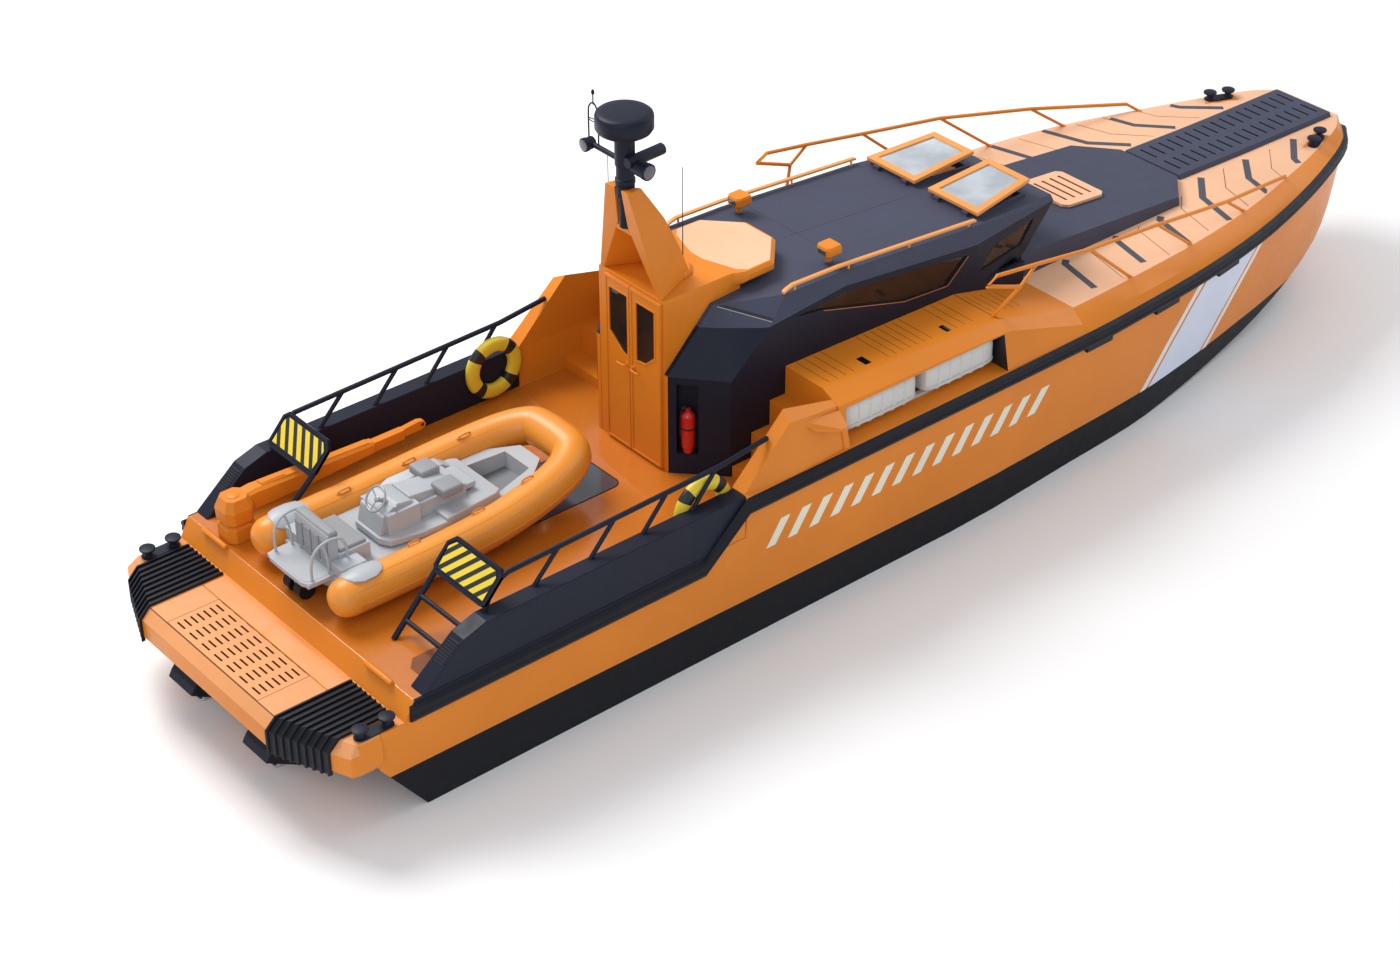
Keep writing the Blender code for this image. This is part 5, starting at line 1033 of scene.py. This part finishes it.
def build_hatch_glass():
    """Pale panes in the raised roof lids."""
    pane = add_prism(bmesh.new(), inset([(4.27, 0.11), (4.27, 0.91), (5.24, 0.78), (5.24, 0.12)], 0.085),
                     0.016, 0.026)
    turn = Matrix.Translation(Vector((4.27, 0, 1.768)) + DECK) @ Matrix.Rotation(radians(-3.5), 4, "Y")
    bmesh.ops.translate(pane, vec=-(DECK + Vector((4.27, 0, 0))), verts=pane.verts)
    bmesh.ops.transform(pane, matrix=turn, verts=pane.verts)
    pair("roof_hatch_pane_{}", pane, PALE_GLASS, body="roof_lid_{}")


MAST_X = -0.05
MAST_HEAD = (
    # radius, z
    (0.07, 2.8003), (0.07, 3.15), (0.1, 3.17), (0.1, 3.295), (0.092, 3.3), (0.092, 3.31), (0.107, 3.315),
    (0.107, 3.36), (0.095, 3.37), (0.095, 3.51), (0.107, 3.52), (0.107, 3.85), (0.22, 3.87), (0.285, 3.91),
    (0.307, 3.945), (0.307, 4.07), (0.3, 4.095), (0.28, 4.112), (0.22, 4.12),
)
LAMP_FOOT = Vector((-0.03, -0.11, 3.55))
LAMP_AIM = Vector((0.03, -1, 0)).normalized()
LAMP_Y = 0.57
LAMP_Z = 3.54
AERIAL_Y = 0.51
MAST_LEG = (
    # x and y of four corners, from the aft outer one round the inside, then z
    ((0, 0.515), (0, 0.45), (0.56, 0.16), (0.62, 0.24), 2.1005),
    ((-0.05, 0.42), (-0.048, 0.268), (0.45, 0.143), (0.5, 0.206), 2.455),
    ((-0.107, 0.31), (-0.095, 0.078), (0.28, 0.119), (0.325, 0.175), 2.838),
    ((-0.17, 0.19), (-0.155, 0.052), (0.01, 0.1), (0.04, 0.15), 3.27),
)
MAST_FOOT = ((0.33, 0.08), (0.325, 0.2), (0.483, 0.313), (0.627, 0.267), (0.734, 0.123))


def build_mast_frame():
    """Two legs that lean together round the mast head's foot, their feet and the bridge between them."""
    for word, side in SIDES:
        leg = add_loft(bmesh.new(), [[(x, y, z) for x, y in corners] for *corners, z in MAST_LEG])
        middle = Vector((0.5, 0.19))
        add_loft(leg, [[(*Vector(foot).lerp(middle, share), z) for foot in MAST_FOOT]
                       for share, z in ((0, 2.1005), (0, 2.12), (0.2, 2.16))])
        piece(f"mast_leg_{word}", mirror(leg, side), PAINT, 25, 0.008,
              stands_for="mast_frame" if side > 0 else None)
    bridge = add_box(bmesh.new(), (-0.085, -0.12, 2.74), (0.035, 0.12, 2.7995))
    piece("mast_bridge", bridge, PAINT, bevel=0.006)


def build_mast_head():
    """Mast head with its radome, searchlights, loop aerial and whip aerials."""
    head = add_turned(bmesh.new(), (MAST_X, 0, 0), UP, MAST_HEAD, 48)
    add_turned(head, (-0.13, -0.13, 3.6), (0.48, 0, 0.02), ((0.058, 0), (0.065, 0.006), (0.065, 0.47),
                                                               (0.058, 0.48)), 8)
    add_turned(head, LAMP_FOOT, LAMP_AIM, ((0.06, 0), (0.085, 0.03), (0.088, 0.2), (0.093, 0.205),
                                           (0.093, 0.245), (0.084, 0.25)), 28)
    add_tube(head, [(MAST_X, 0.05, LAMP_Z), (MAST_X, LAMP_Y, LAMP_Z)], 0.03, 16)
    add_turned(head, (0, LAMP_Y, LAMP_Z), (-1, 0, 0), ((0.04, 0), (0.066, 0.02), (0.07, 0.1),
                                                       (0.076, 0.105), (0.076, 0.14), (0.068, 0.145)), 28)
    loop = ((0.43, 3.55), (0.43, 3.9), (0.455, 3.98), (0.51, 4.02), (0.565, 3.98), (0.59, 3.9), (0.59, 3.55))
    add_tube(head, curve([(MAST_X, y, z) for y, z in loop]), 0.009, 10)
    add_tube(head, [(MAST_X, AERIAL_Y, 4), (MAST_X, AERIAL_Y, 4.13)], 0.007, 8)
    add_turned(head, (MAST_X, AERIAL_Y, 4.11), UP, ((0.008, 0), (0.018, 0.015), (0.018, 0.04),
                                                    (0.008, 0.06)), 16)
    hoop = circle(Vector((MAST_X, AERIAL_Y, 3.82)), Vector((0.02, 0, 0)), Vector((0, 0.082, 0)), 24)
    add_tube(head, hoop, 0.006, 8, closed=True)
    piece("mast_head_skin", head, NAVY_PAINT)
    lenses = add_turned(bmesh.new(), (-0.145, LAMP_Y, LAMP_Z), (-1, 0, 0),
                        ((0.062, 0), (0.062, 0.003), (0.03, 0.009)), 28)
    add_turned(lenses, LAMP_FOOT + LAMP_AIM * 0.25, LAMP_AIM,
               ((0.076, 0), (0.076, 0.003), (0.035, 0.009)), 28)
    piece("searchlight_lenses", lenses, LENS, 40)
    whips = bmesh.new()
    for x, y, low, high in ((0.55, -0.2, 2.15, 3.36), (0.08, 0.45, 2.095, 3.42)):
        add_tube(whips, [(x, y, z) for z in (low, low + 0.1, low + 0.12, high)], 0.01, 8,
                 radii=(0.014, 0.014, 0.006, 0.004))
    piece("whip_aerials", whips, NAVY_PAINT, 40)


def build_crane_details():
    """Cover plates on the boom, the head's cap and the lug's pin."""
    middle = 1.44
    plates = bmesh.new()
    for x0, x1, half, z0, z1 in ((-3.86, -3.36, 0.058, 0.4955, 0.476), (-3.86, -3.56, 0.04, 0.504, 0.496),
                                 (-3.34, -2.5, 0.045, 0.47, 0.441)):
        add_slanted_box(plates, (x0, middle - half, z0 - 0.01), (x1 - x0, 0, z1 - z0), (0, 2 * half, 0),
                        (0, 0, 0.02))
    piece("crane_boom_plates", plates, PAINT, 30, 0.006)
    pin = add_turned(bmesh.new(), (-1.8, middle - 0.037, 0.385), (0, 1, 0),
                     ((0.02, 0), (0.022, 0.002), (0.022, 0.072), (0.02, 0.074)), 20)
    piece("crane_lug_pin", pin, BLACK, 40, body="crane_inner_boom")
    cap = add_turned(bmesh.new(), (-4.19, 1.42, 0.49), UP, ((0.07, 0), (0.07, 0.014), (0.05, 0.022)))
    piece("crane_head_cap", cap, PAINT, 40)


def build_walkway():
    """Slotted walkway to the bow."""
    slots = bmesh.new()
    tree = surface("bow_walkway")
    for k in range(17):
        x = 8.46 + 0.165 * k
        top = drop(tree, x, 0).z
        for y in (-0.33, 0.06):
            add_box(slots, (x, y, top - 0.02), (x + 0.03, y + 0.27, top + 0.1))

    def colour(place, normal):
        """1 the slots' walls and floors, black as painted shade."""
        wall = abs(place.y) < 0.335 and abs(normal.z) < 0.5 and 8.45 < place.x < 11.2
        return wall or normal.z > 0.9 and place.z < drop(tree, place.x, 0.02).z - 0.012

    shape = carve(rounded(node_shape("bow_walkway"), 0.006), slots)
    piece("bow_walkway_skin", shape, (NAVY_DECK_REFLECTION, BLACK), 30, weighted=True, choose=colour)


# Tender

TENDER_Y = 0.13
TUBE = 0.21
TUBE_Y = 0.7
TUBE_Z = 0.28
TENDER_PATH = (
    # x, y offset from the tender's centreline, z of the tube's centre
    (-4.1, 0.7, 0.28), (-3.6, 0.705, 0.28), (-2.7, 0.7, 0.295), (-2.1, 0.675, 0.335),
    (-1.55, 0.6, 0.4), (-1.22, 0.5, 0.455), (-1.03, 0.36, 0.5), (-0.985, 0.19, 0.52),
)


def tube_line():
    """Centre line of the collar from its port end round the bow to its starboard end."""
    port = [Vector((x, TENDER_Y + y, z)) for x, y, z in TENDER_PATH]
    return curve(port + [Vector((p.x, 2 * TENDER_Y - p.y, p.z)) for p in reversed(port)], 5)


def along_tube(line, raised, reach):
    """Points along the collar raised some degrees from its outermost side, reach off its skin."""
    found = []
    last = len(line) - 1
    angle = radians(raised)
    for i, point in enumerate(line):
        along = (line[min(i + 1, last)] - line[max(i - 1, 0)]).normalized()
        sideways = Vector((along.y, -along.x, 0)).normalized()
        if sideways.dot(point - Vector((-3, TENDER_Y, point.z))) < 0:
            sideways = -sideways
        found.append(point + (TUBE + reach) * (cos(angle) * sideways + sin(angle) * UP))
    return found


def build_tender_tubes():
    """Inflated collar with coned ends, rub strake, seams and handles."""
    line = tube_line()
    cone = ((0.06, 0.985), (0.11, 0.93), (0.155, 0.82), (0.19, 0.66), (0.215, 0.45), (0.23, 0.22))
    points = [line[0] - Vector((reach, 0, 0)) for reach, scale in reversed(cone)] + line
    points += [line[-1] - Vector((reach, 0, 0)) for reach, scale in cone]
    ends = [TUBE * scale for reach, scale in cone]
    radii = ends[::-1] + [TUBE] * len(line) + ends
    piece("tender_tubes_skin", add_tube(bmesh.new(), points, TUBE, 32, radii=radii), TUBE_FABRIC, 60)

    profile = ((-28, -0.004), (-26, 0.006), (-18, 0.011), (-10, 0.011), (-2, 0.006), (0, -0.004),
               (-14, -0.012))
    strake = add_loft(bmesh.new(), list(zip(*[along_tube(line, *corner) for corner in profile])))
    piece("tender_strake", strake, STRAKE, 40)

    seams, handles = bmesh.new(), bmesh.new()
    for raised in (38, 66, 128):
        add_tube(seams, along_tube(line, raised, -0.0005), 0.0025, 6)
    for x in (-3.25, -2.45, -1.72):
        for side in (1, -1):
            nearest = min((p for p in line if (p.y - TENDER_Y) * side > 0), key=lambda p: abs(p.x - x))
            lean = Vector((0, -0.35 * side, 0.94)).normalized()
            base = nearest + lean * (TUBE - 0.004)
            patch = [p - lean * abs(p.y - base.y) / 8 for p in
                     circle(base, Vector((0.1, 0, 0)), Vector((0, 0.032, 0)), 20)]
            add_loft(handles, [patch, [p + lean * 0.008 for p in patch]])
            grip = [base + Vector((along, 0, 0)) + lean * rise
                    for along, rise in ((-0.075, 0), (-0.055, 0.035), (0.055, 0.035), (0.075, 0))]
            add_tube(handles, curve(grip, 4), 0.009, 8)
    piece("tender_seams", seams, STRAKE, 40)
    piece("tender_handles", handles, STRAKE, 40)


def add_slabs(shape, *slabs):
    """Upright prisms on outlines beside the tender's centreline, each with its low and high z."""
    for outline, low, high in slabs:
        add_prism(shape, [(x, TENDER_Y + across) for x, across in outline], low, high)
    return shape


def build_tender_inside():
    """Moulded step, pods, seats, sole and console, and the grab rails."""
    y = TENDER_Y
    skin("tender_hull", (MOULDING, DARK_MOULDING), 0.014, 30, segments=3,
         choose=lambda place, normal: -2.1 < place.x < -1.45 and 0.14 < place.z < 0.34 and normal.z > 0.5)

    outline = [(-4.05, 0.385), (-4.3, 0.385), (-4.37, 0.36), (-4.405, 0.29), (-4.41, 0)]
    outline += [(x, -across) for x, across in reversed(outline[:-1])]
    tread = [(-4.12 + (x + 4.12) * 0.92, across * 0.9) for x, across in outline]
    step = add_slabs(bmesh.new(), (outline, 0.305, 0.352), (tread, 0.351, 0.356))
    piece("tender_step", step, MOULDING, 30, 0.008)

    pods = bmesh.new()
    for side in (1, -1):
        rings = []
        for x, low, high, reach in ((-4.14, 88, 128, 0.216), (-4.09, 66, 138, 0.235), (-4, 56, 150, 0.245),
                                    (-3.86, 56, 150, 0.245), (-3.76, 66, 138, 0.236), (-3.7, 86, 124, 0.216)):
            turns = [radians(low + (high - low) * k / 8) for k in range(9)]
            section = [(turn, reach) for turn in turns] + [(turn, 0.2) for turn in reversed(turns)]
            rings.append([(x, y + side * (TUBE_Y + far * cos(turn)), TUBE_Z + far * sin(turn))
                          for turn, far in section])
        add_loft(pods, rings)
        add_box(pods, (-4.06, y + side * 0.41 - 0.11, 0.3), (-3.76, y + side * 0.41 + 0.11, 0.46))
    piece("tender_pods", pods, MOULDING, 35, 0.01)

    for name, low, high, bevel in (
        ("tender_seat_pad", (-3.93, y - 0.29, 0.485), (-3.6, y + 0.29, 0.535), 0.02),
        ("tender_back_roll", (-4.055, y - 0.31, 0.7), (-3.935, y + 0.31, 0.79), 0.035),
        ("tender_front_back_starboard", (-2.66, y - 0.335, 0.6), (-2.4, y - 0.085, 0.71), 0.03),
        ("tender_front_back_port", (-2.64, y + 0.085, 0.6), (-2.4, y + 0.335, 0.71), 0.03),
    ):
        pad = rounded(add_box(bmesh.new(), low, high), bevel, 30, 5)
        piece(name, pad, PAD_GREY, 60)
    pads = bmesh.new()
    for across in (y - 0.225, y - 0.075, y + 0.075, y + 0.225):
        add_box(pads, (-4.078, across - 0.06, 0.4), (-4.05, across + 0.06, 0.69))
        add_box(pads, (-3.955, across - 0.06, 0.54), (-3.935, across + 0.06, 0.69))
    piece("tender_back_pads", pads, PAD_GREY, 30, 0.01, segments=3)

    low = [(-3.43, -0.24), (-3.36, -0.36), (-3.02, -0.44), (-2.7, -0.455), (-2.7, 0.42), (-3.12, 0.42),
           (-3.3, 0.3), (-3.43, 0.18)]
    high = [(-2.715, -0.46), (-2.05, -0.405), (-1.975, -0.36), (-1.975, 0.4), (-2.05, 0.45), (-2.715, 0.465)]
    sole = add_slabs(bmesh.new(), (low, 0.345, 0.425), (high, 0.345, 0.468))
    add_prism(sole, [(-3.1, 0.42), (-2.84, 0.555), (-2.24, 0.555), (-2.1, 0.46)], y + 0.285, y + 0.455, "y")
    piece("tender_sole_moulding", sole, MOULDING, 30, 0.016, segments=3)

    console = add_prism(bmesh.new(), [(-3.4, 0.42), (-3.35, 0.63), (-3.16, 0.725), (-3, 0.7), (-2.9, 0.62),
                                      (-2.9, 0.42)], y - 0.225, y + 0.185, "y")
    add_loft(console, [[(x, y - low, 0.55), (x, y + low, 0.55), (x, y + high, top), (x, y - high, top)]
                       for x, low, high, top in ((-2.97, 0.19, 0.16, 0.7), (-2.42, 0.17, 0.14, 0.625))])
    add_box(console, (-2.36, y - 0.2, 0.5), (-2.16, y + 0.2, 0.565))
    piece("tender_console", console, MOULDING, 30, 0.014, segments=3)
    # The black slot is painted shade in a gap.
    slot = add_box(bmesh.new(), (-2.145, y - 0.29, 0.362), (-2.115, y + 0.29, 0.386))
    piece("tender_lid_slot", slot, BLACK, 30, 0.002)

    rails = bmesh.new()
    hoop = ((-4.3, 0.33, 0.34), (-4.3, 0.335, 0.52), (-4.26, 0.34, 0.66), (-4.16, 0.345, 0.735),
            (-4.02, 0.345, 0.745), (-3.93, 0.345, 0.7), (-3.88, 0.345, 0.58), (-3.88, 0.345, 0.44))
    stay = ((-4.1, 0.335, 0.345), (-4.11, 0.34, 0.55), (-4.16, 0.345, 0.735))
    for side in (1, -1):
        for line, radius in ((hoop, 0.015), (stay, 0.013)):
            add_tube(rails, curve([(x, y + side * across, z) for x, across, z in line], 5), radius, 12)
    piece("tender_grab_rails", rails, MOULDING, 40)


def build_tender_wheel():
    """The tender's steering wheel on its column, and the lever on its bracket."""
    y = TENDER_Y
    hub = Vector((-3.33, y - 0.09, 0.79))
    lean = Vector((-0.8, 0, 0.6)).normalized()
    across = Vector((0, 1, 0))
    upward = lean.cross(across).normalized()
    wheel = add_tube(bmesh.new(), circle(hub, 0.135 * across, 0.135 * upward, 32), 0.012, 10, closed=True)
    for rim in circle(hub, 0.13 * across, 0.13 * upward, 3, 0.75):
        add_tube(wheel, [hub - lean * 0.02, rim], 0.008, 8)
    add_turned(wheel, hub - lean * 0.15, lean, ((0.03, 0), (0.02, 0.05), (0.02, 0.11), (0.032, 0.12),
                                                (0.032, 0.14), (0.02, 0.15)), 20)
    add_box(wheel, (-3.26, y - 0.275, 0.53), (-3.14, y - 0.2, 0.6))
    add_turned(wheel, (-3.2, y - 0.25, 0.585), UP, ((0.03, 0), (0.03, 0.03), (0.012, 0.04), (0.01, 0.11),
                                                     (0.02, 0.12), (0.02, 0.145), (0.01, 0.15)), 16)
    piece("tender_wheel_and_lever", wheel, STEEL_GREY, 40, slot="grey_moulding")


# Cabin

def build_cabin():
    """Helm seats on plinths, with stuffed cushions and backs, and screens on the console."""
    for word, side in SIDES:
        plinth = add_box(bmesh.new(), (2.98, 0.4, 0.0003), (3.3, 0.72, 0.5))
        piece(f"helm_seat_{word}_plinth", mirror(plinth, side), BLACK, 30, 0.015, slot="seat_cover",
              stands_for=f"helm_seat_{word}")
        for part, outline, near, far in (
            ("cushion", [(2.92, 0.505), (2.92, 0.63), (3.4, 0.63), (3.4, 0.505)], 0.335, 0.785),
            ("back", [(2.85, 0.6), (2.77, 1.31), (2.875, 1.315), (2.975, 0.63)], 0.345, 0.775),
        ):
            pad = mirror(add_prism(bmesh.new(), outline, near, far, "y"), side)
            piece(f"helm_{part}_{word}", rounded(pad, 0.035, 30, 5), SEAT, 60)
    screens = bmesh.new()
    for across in (-0.62, -0.2, 0.22, 0.64):
        add_slanted_box(screens, (4.32, across - 0.15, 0.832), (0.24, 0, 0.135), (0, 0.3, 0),
                        (-0.008, 0, 0.012))
    piece("helm_screens", screens, DARK_PANEL, 30, 0.004, slot="black_rubber")


# Stage, light and camera

LIGHTS = (
    # name, place, size, power, colour
    ("key", (-6, 14, 22), 12, 5600, (1, 0.98, 0.95)),
    ("fill", (-22, -16, 16), 16, 1300, (0.97, 0.98, 1)),
    ("bow", (22, -6, 16), 12, 1100, (1, 1, 1)),
)
LIGHT_TARGET = Vector((0, 0, 1.5))
CAMERA_PLACE = (-18.7995, -19.7935, 18.015)
CAMERA_DOWN = 33.975
CAMERA_TURN = 49.749


def build_stage():
    """Pale floor at the waterline, soft studio light and the camera at the photograph's angle."""
    bpy.ops.mesh.primitive_grid_add(x_subdivisions=8, y_subdivisions=8, size=400)
    floor = bpy.context.object
    floor.name = "floor"
    paint = coating("floor_pale", (0.93, 0.93, 0.935), 0.9, bump=0, speckle=0, patches=0)
    floor.data.materials.append(paint)

    world = bpy.data.worlds.new("studio")
    world.use_nodes = True
    background = world.node_tree.nodes["Background"]
    background.inputs["Color"].default_value = (0.93, 0.96, 1, 1)
    background.inputs["Strength"].default_value = 0.62
    bpy.context.scene.world = world

    for name, place, size, power, colour in LIGHTS:
        light = bpy.data.lights.new(name, "AREA")
        light.size = size
        light.energy = power
        light.color = colour
        lamp = bpy.data.objects.new(name, light)
        lamp.location = place
        lamp.rotation_euler = (LIGHT_TARGET - Vector(place)).to_track_quat("-Z", "Y").to_euler()
        bpy.context.scene.collection.objects.link(lamp)

    bpy.context.scene.view_settings.view_transform = "Standard"
    lens = bpy.data.cameras.new("camera")
    lens.lens = 71
    lens.sensor_width = 36
    lens.clip_end = 1000
    camera = bpy.data.objects.new("camera", lens)
    camera.location = CAMERA_PLACE
    camera.rotation_euler = (radians(90 - CAMERA_DOWN), 0, radians(CAMERA_TURN - 90))
    bpy.context.scene.collection.objects.link(camera)
    bpy.context.scene.camera = camera


for build in (build_stage, build_skins, build_hull_marks, build_foredeck_marks, build_platform, build_mats,
              build_bollards, build_aft_rails, build_fore_rails, build_bulwark_louvres, build_guard_stripes,
              build_life_rings, build_deck_panel, build_side_decks, build_rafts, build_extinguishers,
              build_doors, build_house_marks, build_hatch_glass, build_mast_frame, build_mast_head,
              build_crane_details, build_walkway, build_tender_tubes, build_tender_inside, build_tender_wheel,
              build_cabin):
    build()

bpy.context.view_layer.update()
